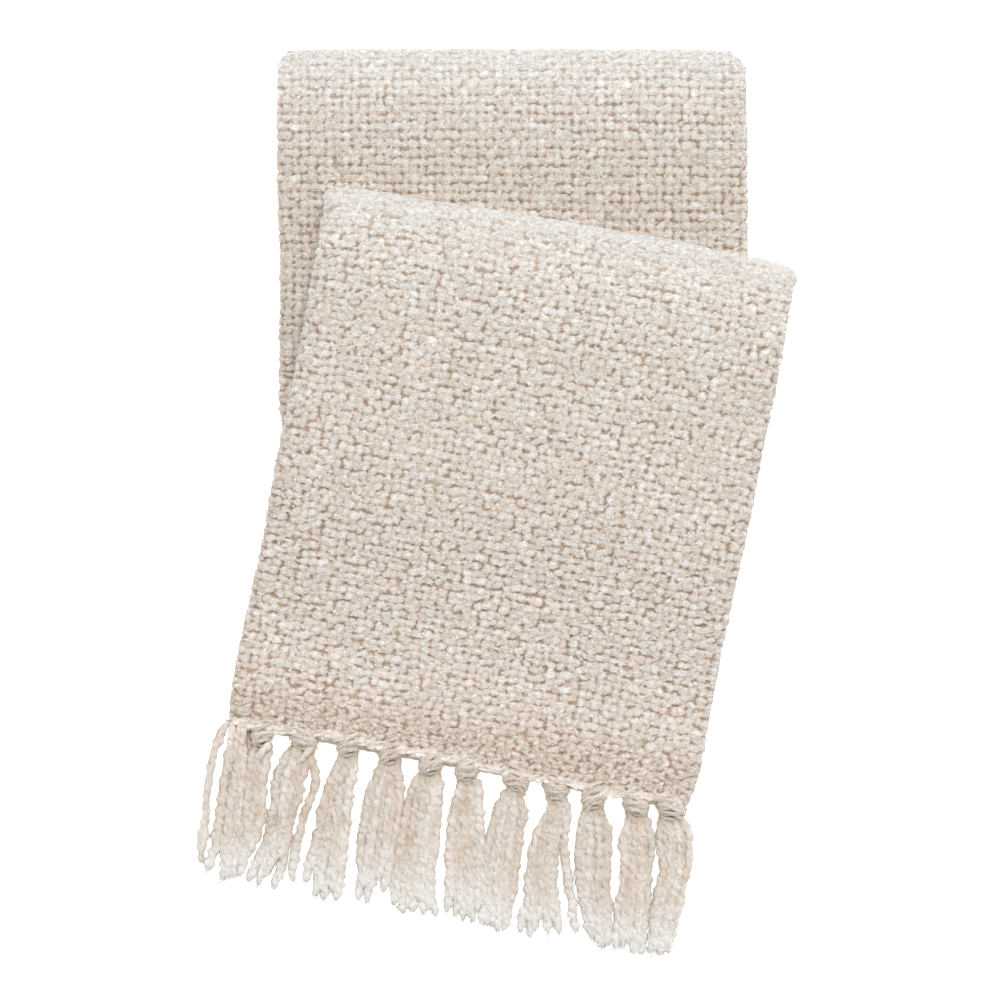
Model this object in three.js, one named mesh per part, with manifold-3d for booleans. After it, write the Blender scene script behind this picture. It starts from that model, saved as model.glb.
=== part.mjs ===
// A chunky boucle throw, folded and lying flat, with a knotted fringe at both ends.
//
// The throw is folded twice. First it is folded in three along its length, so that it
// becomes a strip of three layers: the middle third lies on the face, the two outer
// thirds are tucked under it. Then the strip runs back and forth, one run over the
// other: the front run on top, turned by about ten degrees, the second run under it,
// the back run that reaches highest, and the lowest run with the far end.
// Every fold of the strip goes under the run before it, so that the face shows on the
// front run and on the back run.
//
// Millimetres, +Z up. +X to the right and +Y towards the top fold of the back run.
// The origin is at the middle of the underside.

import * as THREE from 'three';
import * as BufferGeometryUtils from 'three/addons/utils/BufferGeometryUtils.js';
import Module from 'manifold-3d';

// ---------------------------------------------------------------- driving sizes
const WIDTH = 423;          // width of the folded strip, a third of the cloth's 1270
const LAYER = 4.4;          // thickness of the cloth
const LAYER_GAP = 0.6;      // air between the layers of the strip
const RUN_GAP = 0.8;        // air between one run of the strip and the next
const FRONT_LENGTH = 500;   // front run, from its fold to the hem
const DROP_START = 228;     // distance from the front fold where the front run leaves the stack
const DROP_END = 446;       // distance from the front fold where it has come down to the surface
const TUCKED_EDGE = 8;      // how far the tucked selvedge stays inside the right side
const UNDER_EDGE = 6;       // how far the lower selvedge stays inside the left side
const PIECE_GAP = 0.3;      // between the cloth and the fringe
const HEADER = 6;           // the row of knots' common root along the hem
const KNOT_WIDE = 19;       // width of a knot
const ARC_STEPS = 7;        // steps around each fold

const STRIP = 3 * LAYER + 2 * LAYER_GAP;
const PITCH = STRIP + RUN_GAP;
const FOLD_R = PITCH / 2;                    // middle of the strip around a fold
const FOLD_OUT = FOLD_R + STRIP / 2;         // outside of a fold
const HEIGHT = { low: STRIP / 2, back: STRIP / 2 + PITCH, second: STRIP / 2 + 2 * PITCH, front: STRIP / 2 + 3 * PITCH };

// ---------------------------------------------------------------- tables
// Left and right side of the strip, seen from above. at: share of the front run's
// length from its fold (0) to the hem (1). bow: how far the middle of the line lies
// further up the run than its two ends.
const FRONT_RUN = [
  { at: 1.00, lx: -247.2, ly: -207.8, rx: 169.8, ry: -285.7, bow: 1.5 },
  { at: 0.93, lx: -244.1, ly: -173.0, rx: 180.8, ry: -250.0, bow: 1.0 },
  { at: 0.86, lx: -238.3, ly: -139.1, rx: 188.2, ry: -215.5, bow: 0.5 },
  { at: 0.79, lx: -229.8, ly: -104.5, rx: 193.1, ry: -180.7, bow: 0.0 },
  { at: 0.72, lx: -221.5, ly: -70.0, rx: 198.8, ry: -145.8, bow: 0.0 },
  { at: 0.65, lx: -213.3, ly: -36.1, rx: 204.7, ry: -110.7, bow: 0.0 },
  { at: 0.58, lx: -206.3, ly: -1.8, rx: 210.4, ry: -76.4, bow: 0.0 },
  { at: 0.51, lx: -199.6, ly: 31.4, rx: 217.4, ry: -42.1, bow: 0.0 },
  { at: 0.44, lx: -192.0, ly: 64.9, rx: 224.2, ry: -8.5, bow: 0.0 },
  { at: 0.34, lx: -181.7, ly: 112.8, rx: 233.2, ry: 39.8, bow: 0.5 },
  { at: 0.22, lx: -171.8, ly: 170.1, rx: 245.2, ry: 97.6, bow: 2.5 },
  { at: 0.11, lx: -162.9, ly: 222.9, rx: 255.1, ry: 151.3, bow: 5.5 },
];
// The three folds of the strip: the line along the middle of each turn, which side is
// outward (+1 up the page, -1 down), and the two runs that it joins.
const FOLDS = {
  front: { lx: -156.2, ly: 261.4, rx: 261.2, ry: 189.7, bow: 7.5, out: +1, from: 'front', to: 'second' },
  hidden: { lx: -195.0, ly: 63.6, rx: 222.4, ry: 20.1, bow: 0.0, out: -1, from: 'second', to: 'back' },
  back: { lx: -200.7, ly: 393.7, rx: 222.6, ry: 393.4, bow: 2.0, out: +1, from: 'back', to: 'low' },
};
const SECOND_RUN = [
  { lx: -174.0, ly: 170.0, rx: 243.5, ry: 112.0, bow: 1.5 },
];
const BACK_RUN = [
  { lx: -197.0, ly: 105.0, rx: 223.0, ry: 78.0, bow: 0.0 },
  { lx: -199.3, ly: 180.0, rx: 223.6, ry: 168.0, bow: 0.0 },
  { lx: -200.6, ly: 270.0, rx: 223.6, ry: 266.0, bow: 0.0 },
  { lx: -200.8, ly: 345.0, rx: 223.2, ry: 344.0, bow: 1.0 },
];
const LOW_RUN = [
  { lx: -200.4, ly: 330.0, rx: 222.4, ry: 327.0, bow: 0.0 },
  { lx: -199.6, ly: 250.0, rx: 221.6, ry: 236.0, bow: 0.0 },
  { lx: -198.6, ly: 188.0, rx: 220.8, ry: 158.0, bow: 0.0 },
];
// The tassels of the front hem, left to right: middle and width of the knot, middle and
// width of the tassel at a third, at two thirds and at its end. The first is a loose
// strand beside the corner.
const TASSELS = [
  { kx: -247.5, ky: -216, kw: 7, mx: -269.0, my: -270, mw: 8, lx: -271.8, ly: -301, lw: 9, ex: -273.0, ey: -331, ew: 12 },
  { kx: -240.0, ky: -219, mx: -246.4, my: -261, mw: 20, lx: -254.8, ly: -307, lw: 19, ex: -263.2, ey: -343, ew: 15 },
  { kx: -215.5, ky: -224, mx: -222.1, my: -264, mw: 20, lx: -231.8, ly: -312, lw: 19, ex: -241.9, ey: -348, ew: 17 },
  { kx: -179.0, ky: -231, mx: -186.9, my: -266, mw: 37, lx: -198.9, ly: -312, lw: 35, ex: -209.0, ey: -354, ew: 36 },
  { kx: -138.0, ky: -237, mx: -145.7, my: -270, mw: 31, lx: -155.8, ly: -319, lw: 33, ex: -162.2, ey: -361, ew: 33 },
  { kx: -99.7, ky: -244, mx: -108.5, my: -275, mw: 29, lx: -117.0, ly: -321, lw: 28, ex: -124.8, ey: -364, ew: 23 },
  { kx: -63.1, ky: -252, mx: -70.6, my: -286, mw: 30, lx: -80.7, ly: -330, lw: 33, ex: -84.4, ey: -374, ew: 40 },
  { kx: -30.2, ky: -259, mx: -33.0, my: -289, mw: 28, lx: -38.0, ly: -332, lw: 30, ex: -40.8, ey: -379, ew: 33 },
  { kx: 14.0, ky: -266, mx: 7.0, my: -298, mw: 32, lx: 0.5, ly: -339, lw: 33, ex: -3.6, ey: -390, ew: 29 },
  { kx: 50.2, ky: -273, mx: 47.0, my: -307, mw: 29, lx: 43.0, ly: -353, lw: 36, ex: 43.1, ey: -395, ew: 44 },
  { kx: 85.0, ky: -281, mx: 85.5, my: -316, mw: 30, lx: 86.2, ly: -362, lw: 27, ex: 86.0, ey: -402, ew: 23 },
  { kx: 122.3, ky: -288, mx: 122.0, my: -321, mw: 29, lx: 118.2, ly: -367, lw: 27, ex: 111.9, ey: -412, ew: 25 },
  { kx: 155.4, ky: -293, mx: 158.5, my: -321, mw: 30, lx: 151.2, ly: -369, lw: 27, ex: 143.1, ey: -416, ew: 27 },
];
// Height of a tassel's top above the surface along it, and its width above the third
// against the knot's.
const TASSEL_STEPS = [
  { at: 'root', high: 13.5, wide: 0.9 },
  { at: 'knot', high: 14.0, wide: 1.0 },
  { at: 'neck', high: 11.0, wide: 0.85 },
  { at: 'mid', high: 9.5 },
  { at: 'low', high: 8.0 },
  { at: 'end', high: 5.5 },
];
// The far end's plain tassels under the stack.
const FAR_TASSELS = { count: 12, length: 106, rootWide: 18, midWide: 24, endWide: 20, high: 12.5, endHigh: 9 };

// ---------------------------------------------------------------- the strip's section
// Middle line of the cloth across the strip, from the tucked selvedge round the left
// side, over the face, round the right side and along the under layer to the other
// selvedge. u runs to the right, w towards the face.
const P = LAYER + LAYER_GAP;
const half = WIDTH / 2;
const LEFT_C = { u: -half + P / 2 + LAYER / 2, w: P / 2, r: P / 2 };
const RIGHT_C = { u: half - P - LAYER / 2, w: 0, r: P };
const SHARES = [0, 0.1, 0.28, 0.52, 0.76, 0.91, 1];

function sectionLine() {
  const line = [];
  const straight = (u0, u1, w, dir) => SHARES.forEach((s, i) => {
    if (i === 0 && line.length) return;
    line.push({ u: u0 + (u1 - u0) * s, w, nu: 0, nw: dir });
  });
  const turn = (c, a0, a1, steps) => {
    for (let i = 1; i <= steps; i++) {
      const a = a0 + (a1 - a0) * i / steps;
      line.push({ u: c.u + c.r * Math.cos(a), w: c.w + c.r * Math.sin(a), nu: Math.cos(a), nw: Math.sin(a) });
    }
  };
  straight(half - TUCKED_EDGE, LEFT_C.u, 0, -1);
  turn(LEFT_C, -Math.PI / 2, -3 * Math.PI / 2, 6);
  straight(LEFT_C.u, RIGHT_C.u, P, +1);
  turn(RIGHT_C, Math.PI / 2, -Math.PI / 2, 8);
  straight(RIGHT_C.u, -half + UNDER_EDGE, -P, -1);
  return line;
}

// Closed outline: the face side of the cloth on the way there, the seam side back.
function sectionOutline(thick = LAYER) {
  const line = sectionLine();
  const side = (s) => line.map((p) => ({ u: p.u + s * p.nu * thick / 2, w: p.w + s * p.nw * thick / 2 }));
  return side(+1).concat(side(-1).reverse());
}

// ---------------------------------------------------------------- lines along the strip
const UP = new THREE.Vector3(0, 0, 1);
const vec = (x, y, z) => new THREE.Vector3(x, y, z);

function dropHeight(at) {
  const t = (at * FRONT_LENGTH - DROP_START) / (DROP_END - DROP_START);
  const s = THREE.MathUtils.clamp(t, 0, 1);
  return HEIGHT.front + (HEIGHT.low - HEIGHT.front) * s * s * (3 - 2 * s);
}

// A line across the strip: its two ends on the strip's middle, the direction of the
// face, and the direction in which its middle bows.
function flatLine(row, z, face) {
  const l = vec(row.lx, row.ly, z), r = vec(row.rx, row.ry, z);
  const bowDir = UP.clone().cross(r.clone().sub(l)).normalize();
  return { l, r, n: UP.clone().multiplyScalar(face), bow: row.bow, bowDir };
}

function foldLines(fold, face) {
  const zc = (HEIGHT[fold.from] + HEIGHT[fold.to]) / 2;
  const across = vec(fold.rx - fold.lx, fold.ry - fold.ly, 0).normalize();
  const up = UP.clone().cross(across);
  const out = up.clone().multiplyScalar(fold.out);
  const lines = [];
  for (let i = 0; i <= ARC_STEPS; i++) {
    const a = Math.PI * i / ARC_STEPS;
    const n = out.clone().multiplyScalar(Math.sin(a)).addScaledVector(UP, Math.cos(a));
    const shift = n.clone().multiplyScalar(FOLD_R).add(vec(0, 0, zc));
    lines.push({
      l: vec(fold.lx, fold.ly, 0).add(shift),
      r: vec(fold.rx, fold.ry, 0).add(shift),
      n: n.clone().multiplyScalar(face),
      bow: fold.bow, bowDir: up.clone(),
    });
  }
  return lines;
}

function stripLines() {
  const front = FRONT_RUN.map((row) => flatLine(row, dropHeight(row.at), +1));
  // where the front run comes down, the face leans with it
  front.forEach((line, i) => {
    if (i === 0 || i === front.length - 1) return;
    const mid = (k) => front[k].l.clone().add(front[k].r).multiplyScalar(0.5);
    const along = mid(i + 1).sub(mid(i - 1)).normalize();
    const across = line.r.clone().sub(line.l).normalize();
    line.n = across.cross(along).normalize();
  });
  return [
    ...front,
    ...foldLines(FOLDS.front, +1),
    ...SECOND_RUN.map((row) => flatLine(row, HEIGHT.second, -1)),
    ...foldLines(FOLDS.hidden, -1),
    ...BACK_RUN.map((row) => flatLine(row, HEIGHT.back, +1)),
    ...foldLines(FOLDS.back, +1),
    ...LOW_RUN.map((row) => flatLine(row, HEIGHT.low, -1)),
  ];
}

// The bow is full along most of the line and runs out at the two sides.
const bowShape = (x) => 1 - (x < 0 ? Math.pow(-x, 5) : Math.pow(x, 3.5));

function sectionPoint(line, p) {
  const x = THREE.MathUtils.clamp(p.u / half, -1, 1);
  const pos = line.l.clone().lerp(line.r, p.u / WIDTH + 0.5);
  pos.addScaledVector(line.n, p.w);
  return pos.addScaledVector(line.bowDir, line.bow * bowShape(x));
}

// ---------------------------------------------------------------- solids
function closedBody(positions, index) {
  const g = new THREE.BufferGeometry();
  g.setAttribute('position', new THREE.Float32BufferAttribute(positions, 3));
  g.setIndex(index);
  let volume = 0;
  const a = vec(), b = vec(), c = vec();
  for (let i = 0; i < index.length; i += 3) {
    a.fromArray(positions, 3 * index[i]);
    b.fromArray(positions, 3 * index[i + 1]);
    c.fromArray(positions, 3 * index[i + 2]);
    volume += a.dot(b.clone().cross(c)) / 6;
  }
  if (volume < 0) {
    for (let i = 0; i < index.length; i += 3) [index[i + 1], index[i + 2]] = [index[i + 2], index[i + 1]];
    g.setIndex(index);
  }
  return g;
}

// A closed outline carried along a row of lines. The two ends are closed with the
// quads between the outline's two sides.
function sweep(lines, outline) {
  const n = outline.length, positions = [], index = [];
  for (const line of lines) for (const p of outline) positions.push(...sectionPoint(line, p).toArray());
  for (let k = 0; k + 1 < lines.length; k++) {
    for (let j = 0; j < n; j++) {
      const j1 = (j + 1) % n, a = k * n + j, b = k * n + j1, c = a + n, d = b + n;
      index.push(a, b, d, a, d, c);
    }
  }
  const cap = (base, flip) => {
    for (let j = 0; j + 1 < n / 2; j++) {
      const o0 = base + j, o1 = base + j + 1, i0 = base + n - 1 - j, i1 = base + n - 2 - j;
      if (flip) index.push(o0, o1, i1, o0, i1, i0);
      else index.push(o0, i1, o1, o0, i0, i1);
    }
  };
  cap(0, false);
  cap((lines.length - 1) * n, true);
  return closedBody(positions, index);
}

// A tassel: flat underneath, with bevelled sides, through a row of rings.
function tassel(rings) {
  const positions = [], index = [];
  rings.forEach((ring, k) => {
    const from = rings[Math.max(0, k - 1)], to = rings[Math.min(rings.length - 1, k + 1)];
    const side = vec(to.y - from.y, -(to.x - from.x), 0).normalize();
    const h = ring.high, w = ring.wide / 2, c = Math.min(w * 0.45, h * 0.4);
    const outline = [[-w + c, 0], [w - c, 0], [w, c], [w, h - c], [w - c, h], [-w + c, h], [-w, h - c], [-w, c]];
    for (const [s, z] of outline) positions.push(ring.x + side.x * s, ring.y + side.y * s, z);
  });
  const n = 8;
  for (let k = 0; k + 1 < rings.length; k++) {
    for (let j = 0; j < n; j++) {
      const a = k * n + j, b = k * n + (j + 1) % n;
      index.push(a, b, b + n, a, b + n, a + n);
    }
  }
  const last = (rings.length - 1) * n;
  for (let j = 1; j + 1 < n; j++) {
    index.push(0, j + 1, j);
    index.push(last, last + j, last + j + 1);
  }
  return closedBody(positions, index);
}

const wasm = await Module();
wasm.setup();

function toSolid(geometry) {
  const g = geometry.clone();
  g.deleteAttribute('normal');
  g.deleteAttribute('uv');
  const m = BufferGeometryUtils.mergeVertices(g, 1e-4);
  return new wasm.Manifold(new wasm.Mesh({
    numProp: 3,
    vertProperties: new Float32Array(m.attributes.position.array),
    triVerts: new Uint32Array(m.index.array),
  }));
}

function joined(geometries) {
  let solid = toSolid(geometries[0]);
  for (const g of geometries.slice(1)) solid = solid.add(toSolid(g));
  const mesh = solid.getMesh();
  const out = new THREE.BufferGeometry();
  out.setAttribute('position', new THREE.Float32BufferAttribute(new Float32Array(mesh.vertProperties), 3));
  out.setIndex(new THREE.BufferAttribute(new Uint32Array(mesh.triVerts), 1));
  return out;
}

// ---------------------------------------------------------------- the cloth
const lines = stripLines();
const clothGeometry = sweep(lines, sectionOutline());

// ---------------------------------------------------------------- the fringes
// The knots' common root follows the folded hem, just clear of it.
function headerLines(hem, away) {
  const d = hem.bowDir.clone().multiplyScalar(away);
  return [PIECE_GAP, PIECE_GAP + HEADER].map((s) => ({
    ...hem, l: hem.l.clone().addScaledVector(d, s), r: hem.r.clone().addScaledVector(d, s),
  }));
}

function frontFringe() {
  const hem = lines[0];
  const parts = [sweep(headerLines(hem, -1), sectionOutline())];
  const down = hem.bowDir.clone().multiplyScalar(-1);
  for (const t of TASSELS) {
    const knot = vec(t.kx, t.ky, 0);
    // the tassel starts inside the common root, straight above its knot
    const onHem = hem.l.clone().lerp(hem.r, (t.kx - hem.l.x) / (hem.r.x - hem.l.x));
    const toHem = down.dot(knot.clone().sub(onHem));
    const root = knot.clone().addScaledVector(down, PIECE_GAP + 2.5 - toHem + 0.5);
    const neck = knot.clone().lerp(vec(t.mx, t.my, 0), 0.42);
    const at = {
      root: { x: root.x, y: root.y }, knot: { x: t.kx, y: t.ky }, neck: { x: neck.x, y: neck.y },
      mid: { x: t.mx, y: t.my, wide: t.mw }, low: { x: t.lx, y: t.ly, wide: t.lw }, end: { x: t.ex, y: t.ey, wide: t.ew },
    };
    const knotWide = t.kw ?? KNOT_WIDE;
    parts.push(tassel(TASSEL_STEPS.map((s) => ({ wide: s.wide * knotWide, ...at[s.at], high: s.high }))));
  }
  return joined(parts);
}

function farFringe() {
  const hem = lines[lines.length - 1];
  const down = hem.bowDir.clone().multiplyScalar(-1);
  const parts = [sweep(headerLines(hem, -1), sectionOutline())];
  const F = FAR_TASSELS;
  for (let i = 0; i < F.count; i++) {
    const p = hem.l.clone().lerp(hem.r, (i + 0.5) / F.count);
    const ring = (s, wide, high) => ({ x: p.x + down.x * s, y: p.y + down.y * s, wide, high });
    parts.push(tassel([
      ring(PIECE_GAP + 2.5, F.rootWide, F.high), ring(14, F.rootWide, F.high),
      ring(F.length * 0.4, F.midWide, F.high), ring(F.length, F.endWide, F.endHigh),
    ]));
  }
  return joined(parts);
}

// ---------------------------------------------------------------- the model
const yarn = (color, roughness) => new THREE.MeshStandardMaterial({ color, roughness, metalness: 0 });

const cloth = new THREE.Mesh(clothGeometry, yarn(0xe4dacd, 0.95));
cloth.name = 'throw_cloth';
const frontTassels = new THREE.Mesh(frontFringe(), yarn(0xe8e0d6, 0.95));
frontTassels.name = 'fringe_front';
const farTassels = new THREE.Mesh(farFringe(), yarn(0xe8e0d6, 0.95));
farTassels.name = 'fringe_far';

const throwGroup = new THREE.Group();
throwGroup.add(cloth, frontTassels, farTassels);
for (const m of throwGroup.children) m.geometry.computeVertexNormals();

// the origin goes to the middle of the underside
const box = new THREE.Box3().setFromObject(throwGroup);
throwGroup.position.set(-(box.min.x + box.max.x) / 2, -(box.min.y + box.max.y) / 2, -box.min.z);
throwGroup.updateMatrixWorld(true);

export default throwGroup;
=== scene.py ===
# Looks of the folded boucle throw: a thin folded sheet, the nubs of its thick irregular
# yarns, the twisted hem yarns, and the two knotted fringes.
# Millimetres in the tables and helpers, metres in the meshes.
import math

import bpy
import numpy as np
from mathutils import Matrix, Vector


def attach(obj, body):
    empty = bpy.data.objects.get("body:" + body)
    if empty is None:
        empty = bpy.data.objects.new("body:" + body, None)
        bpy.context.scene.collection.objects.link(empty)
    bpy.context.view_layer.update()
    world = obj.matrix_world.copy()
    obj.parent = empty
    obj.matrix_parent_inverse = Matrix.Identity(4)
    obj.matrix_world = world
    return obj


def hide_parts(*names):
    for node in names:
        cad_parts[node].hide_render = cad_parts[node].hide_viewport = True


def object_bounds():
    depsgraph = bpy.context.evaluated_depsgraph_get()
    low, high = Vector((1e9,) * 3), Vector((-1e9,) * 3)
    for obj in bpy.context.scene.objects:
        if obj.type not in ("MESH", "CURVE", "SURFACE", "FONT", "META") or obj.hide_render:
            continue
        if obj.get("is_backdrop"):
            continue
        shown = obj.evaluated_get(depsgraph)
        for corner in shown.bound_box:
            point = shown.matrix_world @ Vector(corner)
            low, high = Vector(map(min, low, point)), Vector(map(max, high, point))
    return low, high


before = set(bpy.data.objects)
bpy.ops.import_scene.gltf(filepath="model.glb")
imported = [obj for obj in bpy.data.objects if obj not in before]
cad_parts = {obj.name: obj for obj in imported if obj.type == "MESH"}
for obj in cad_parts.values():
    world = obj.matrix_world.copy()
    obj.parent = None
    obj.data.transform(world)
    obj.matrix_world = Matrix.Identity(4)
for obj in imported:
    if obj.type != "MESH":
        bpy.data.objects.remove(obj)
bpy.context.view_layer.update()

MM = 0.001
SHIFT = np.array([8.270401, 4.139725, 0.0])
UP = np.array([0.0, 0.0, 1.0])

# ------------------------------------------------------------------ sizes of the solid
WIDTH, LAYER, LAYER_GAP, RUN_GAP = 423.0, 4.4, 0.6, 0.8
FRONT_LENGTH, DROP_START, DROP_END = 500.0, 228.0, 446.0
TUCKED_EDGE, UNDER_EDGE = 8.0, 6.0
STRIP = 3 * LAYER + 2 * LAYER_GAP
PITCH = STRIP + RUN_GAP
FOLD_R = PITCH / 2
P = LAYER + LAYER_GAP
HALF = WIDTH / 2
HEIGHT = {"low": STRIP / 2, "back": STRIP / 2 + PITCH, "second": STRIP / 2 + 2 * PITCH, "front": STRIP / 2 + 3 * PITCH}

# left x, left y, right x, right y, bow (and, in the front run, its share from the fold)
FRONT_RUN = [
    (1.00, -247.2, -207.8, 169.8, -285.7, 1.5), (0.93, -244.1, -173.0, 180.8, -250.0, 1.0),
    (0.86, -238.3, -139.1, 188.2, -215.5, 0.5), (0.79, -229.8, -104.5, 193.1, -180.7, 0.0),
    (0.72, -221.5, -70.0, 198.8, -145.8, 0.0), (0.65, -213.3, -36.1, 204.7, -110.7, 0.0),
    (0.58, -206.3, -1.8, 210.4, -76.4, 0.0), (0.51, -199.6, 31.4, 217.4, -42.1, 0.0),
    (0.44, -192.0, 64.9, 224.2, -8.5, 0.0), (0.34, -181.7, 112.8, 233.2, 39.8, 0.5),
    (0.22, -171.8, 170.1, 245.2, 97.6, 2.5), (0.11, -162.9, 222.9, 255.1, 151.3, 5.5),
]
FOLDS = {
    "front": (-156.2, 261.4, 261.2, 189.7, 7.5, +1, "front", "second", +1),
    "hidden": (-195.0, 63.6, 222.4, 20.1, 0.0, -1, "second", "back", -1),
    "back": (-200.7, 393.7, 222.6, 393.4, 2.0, +1, "back", "low", +1),
}
SECOND_RUN = [(-174.0, 170.0, 243.5, 112.0, 1.5)]
BACK_RUN = [(-197.0, 105.0, 223.0, 78.0, 0.0), (-199.3, 180.0, 223.6, 168.0, 0.0),
            (-200.6, 270.0, 223.6, 266.0, 0.0), (-200.8, 345.0, 223.2, 344.0, 1.0)]
LOW_RUN = [(-200.4, 330.0, 222.4, 327.0, 0.0), (-199.6, 250.0, 221.6, 236.0, 0.0),
           (-198.6, 188.0, 220.8, 158.0, 0.0)]

# the weave
COLUMN = 7.65            # warp yarns, across the strip
ROW_FRONT, ROW_BACK = 7.25, 7.95


# ------------------------------------------------------------------ seeded noise
TABLE = np.random.RandomState(11).rand(256, 256)


def pick(i, j, k=0):
    i, j = np.asarray(i).astype(int), np.asarray(j).astype(int)
    return TABLE[(i * 7 + j * 3 + 53 * k + 17) & 255, (j * 11 + i + 101 * k + 5) & 255]


def noise(x, y, k=0):
    """Smooth noise from -1 to 1, one bump per unit."""
    x, y = np.asarray(x, float), np.asarray(y, float)
    xi, yi = np.floor(x).astype(int), np.floor(y).astype(int)
    fx, fy = x - xi, y - yi
    fx, fy = fx * fx * (3 - 2 * fx), fy * fy * (3 - 2 * fy)

    def t(a, b):
        return TABLE[(a + 37 * k) & 255, (b + 91 * k) & 255]

    v = (t(xi, yi) * (1 - fx) + t(xi + 1, yi) * fx) * (1 - fy) + (t(xi, yi + 1) * (1 - fx) + t(xi + 1, yi + 1) * fx) * fy
    return 2 * v - 1


def smooth(a, b, x):
    t = np.clip((np.asarray(x, float) - a) / (b - a), 0, 1)
    return t * t * (3 - 2 * t)


def srgb(r, g, b):
    c = np.array([r, g, b], float) / 255
    return np.where(c <= 0.04045, c / 12.92, ((c + 0.055) / 1.055) ** 2.4)


# ------------------------------------------------------------------ the section of the strip
# Along S, the length on the cloth's face side: under the face from the tucked selvedge,
# round the left side, over the face, round the right side, and back underneath.
def section():
    parts = []
    lc, rc = (-HALF + P / 2 + LAYER / 2, P / 2, P / 2), (HALF - P - LAYER / 2, 0.0, P)

    def straight(u0, u1, w, nw):
        n = int(abs(u1 - u0))
        for k in range(n + 1):
            parts.append((u0 + (u1 - u0) * k / n, w, 0.0, nw))

    def turn(c, a0, a1):
        for k in range(1, 48):
            a = a0 + (a1 - a0) * k / 48
            parts.append((c[0] + c[2] * math.cos(a), c[1] + c[2] * math.sin(a), math.cos(a), math.sin(a)))

    straight(HALF - TUCKED_EDGE, lc[0], 0.0, -1.0)
    a = len(parts) - 1
    turn(lc, -math.pi / 2, -1.5 * math.pi)
    b = len(parts)
    straight(lc[0], rc[0], P, 1.0)
    c = len(parts) - 1
    turn(rc, math.pi / 2, -math.pi / 2)
    d = len(parts)
    straight(rc[0], -HALF + UNDER_EDGE, -P, -1.0)
    t = np.array(parts)
    face = t[:, :2] + t[:, 2:] * LAYER / 2
    s = np.concatenate([[0], np.cumsum(np.linalg.norm(np.diff(face, axis=0), axis=1))])
    return t, s, (s[a], s[b], s[c], s[d], s[-1])


SEC, SEC_S, (S_LEFT0, S_LEFT1, S_RIGHT0, S_RIGHT1, S_END) = section()


# ------------------------------------------------------------------ lines along the strip
def curve(rows, n):
    """A smooth curve through the rows, n steps between two of them."""
    rows = np.array(rows, float)
    d = np.linalg.norm(np.diff(rows[:, -5:-1], axis=0), axis=1)
    x = np.concatenate([[0], np.cumsum(d)])
    m = np.gradient(rows, x, axis=0)
    out = []
    for k in range(len(rows) - 1):
        steps = max(2, int(round(n * d[k] / 50)))
        h = x[k + 1] - x[k]
        for i in range(steps + (k == len(rows) - 2)):
            t = i / steps
            out.append((2 * t**3 - 3 * t**2 + 1) * rows[k] + (t**3 - 2 * t**2 + t) * h * m[k]
                       + (-2 * t**3 + 3 * t**2) * rows[k + 1] + (t**3 - t**2) * h * m[k + 1])
    return np.array(out)


def cross_unit(a, b):
    c = np.cross(a, b)
    return c / np.linalg.norm(c, axis=-1, keepdims=True)


def fold_lines(name, steps=28):
    lx, ly, rx, ry, bow, out, first, last, face = FOLDS[name]
    zc = (HEIGHT[first] + HEIGHT[last]) / 2
    across = np.array([rx - lx, ry - ly, 0.0])
    across /= np.linalg.norm(across)
    up = np.cross(UP, across)
    rows = []
    for k in range(steps + 1):
        a = math.pi * k / steps
        n = up * out * math.sin(a) + UP * math.cos(a)
        sh = n * FOLD_R + np.array([0, 0, zc])
        rows.append(np.concatenate([np.array([lx, ly, 0]) + sh, np.array([rx, ry, 0]) + sh, n * face, [bow], up]))
    return np.array(rows)


def flat_lines(rows, z, face):
    """rows: left x, left y, right x, right y, bow"""
    out = []
    for (lx, ly, rx, ry, bow), zz in zip(rows, np.broadcast_to(z, (len(rows),))):
        across = np.array([rx - lx, ry - ly, 0.0])
        d = np.cross(UP, across / np.linalg.norm(across))
        out.append(np.concatenate([[lx, ly, zz, rx, ry, zz], UP * face, [bow], d]))
    return np.array(out)


def fold_row(name):
    f = FOLDS[name]
    return (f[0], f[1], f[2], f[3], f[4])


front = curve(FRONT_RUN + [(14.8 / FRONT_LENGTH,) + fold_row("front")], 12)
drop = smooth(DROP_START, DROP_END, front[:, 0] * FRONT_LENGTH)
front_z = HEIGHT["front"] + (HEIGHT["low"] - HEIGHT["front"]) * drop
front_lines = flat_lines(front[:, 1:], front_z, +1)
mid = (front_lines[:, 0:3] + front_lines[:, 3:6]) / 2
along = np.gradient(mid, axis=0)
front_lines[:, 6:9] = cross_unit(front_lines[:, 3:6] - front_lines[:, 0:3], along)
front_lines[0, 6:9] = UP
second = flat_lines(curve([fold_row("front")] + SECOND_RUN + [fold_row("hidden")], 8), HEIGHT["second"], -1)
back = flat_lines(curve([fold_row("hidden")] + BACK_RUN + [fold_row("back")], 8), HEIGHT["back"], +1)
low = flat_lines(curve([fold_row("back")] + LOW_RUN, 8), HEIGHT["low"], -1)
blocks = [front_lines, fold_lines("front"), second, fold_lines("hidden"), back, fold_lines("back"), low]
LINES, MARKS, seen = [], [], 0
for b_index, block in enumerate(blocks):
    if b_index:
        block = block[1:]
    LINES.append(block)
    seen += len(block)
    MARKS.append(seen - 1)
LINES = np.concatenate(LINES)


def bow_shape(x):
    return 1 - np.where(x < 0, np.abs(x) ** 5, np.abs(x) ** 3.5)


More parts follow.
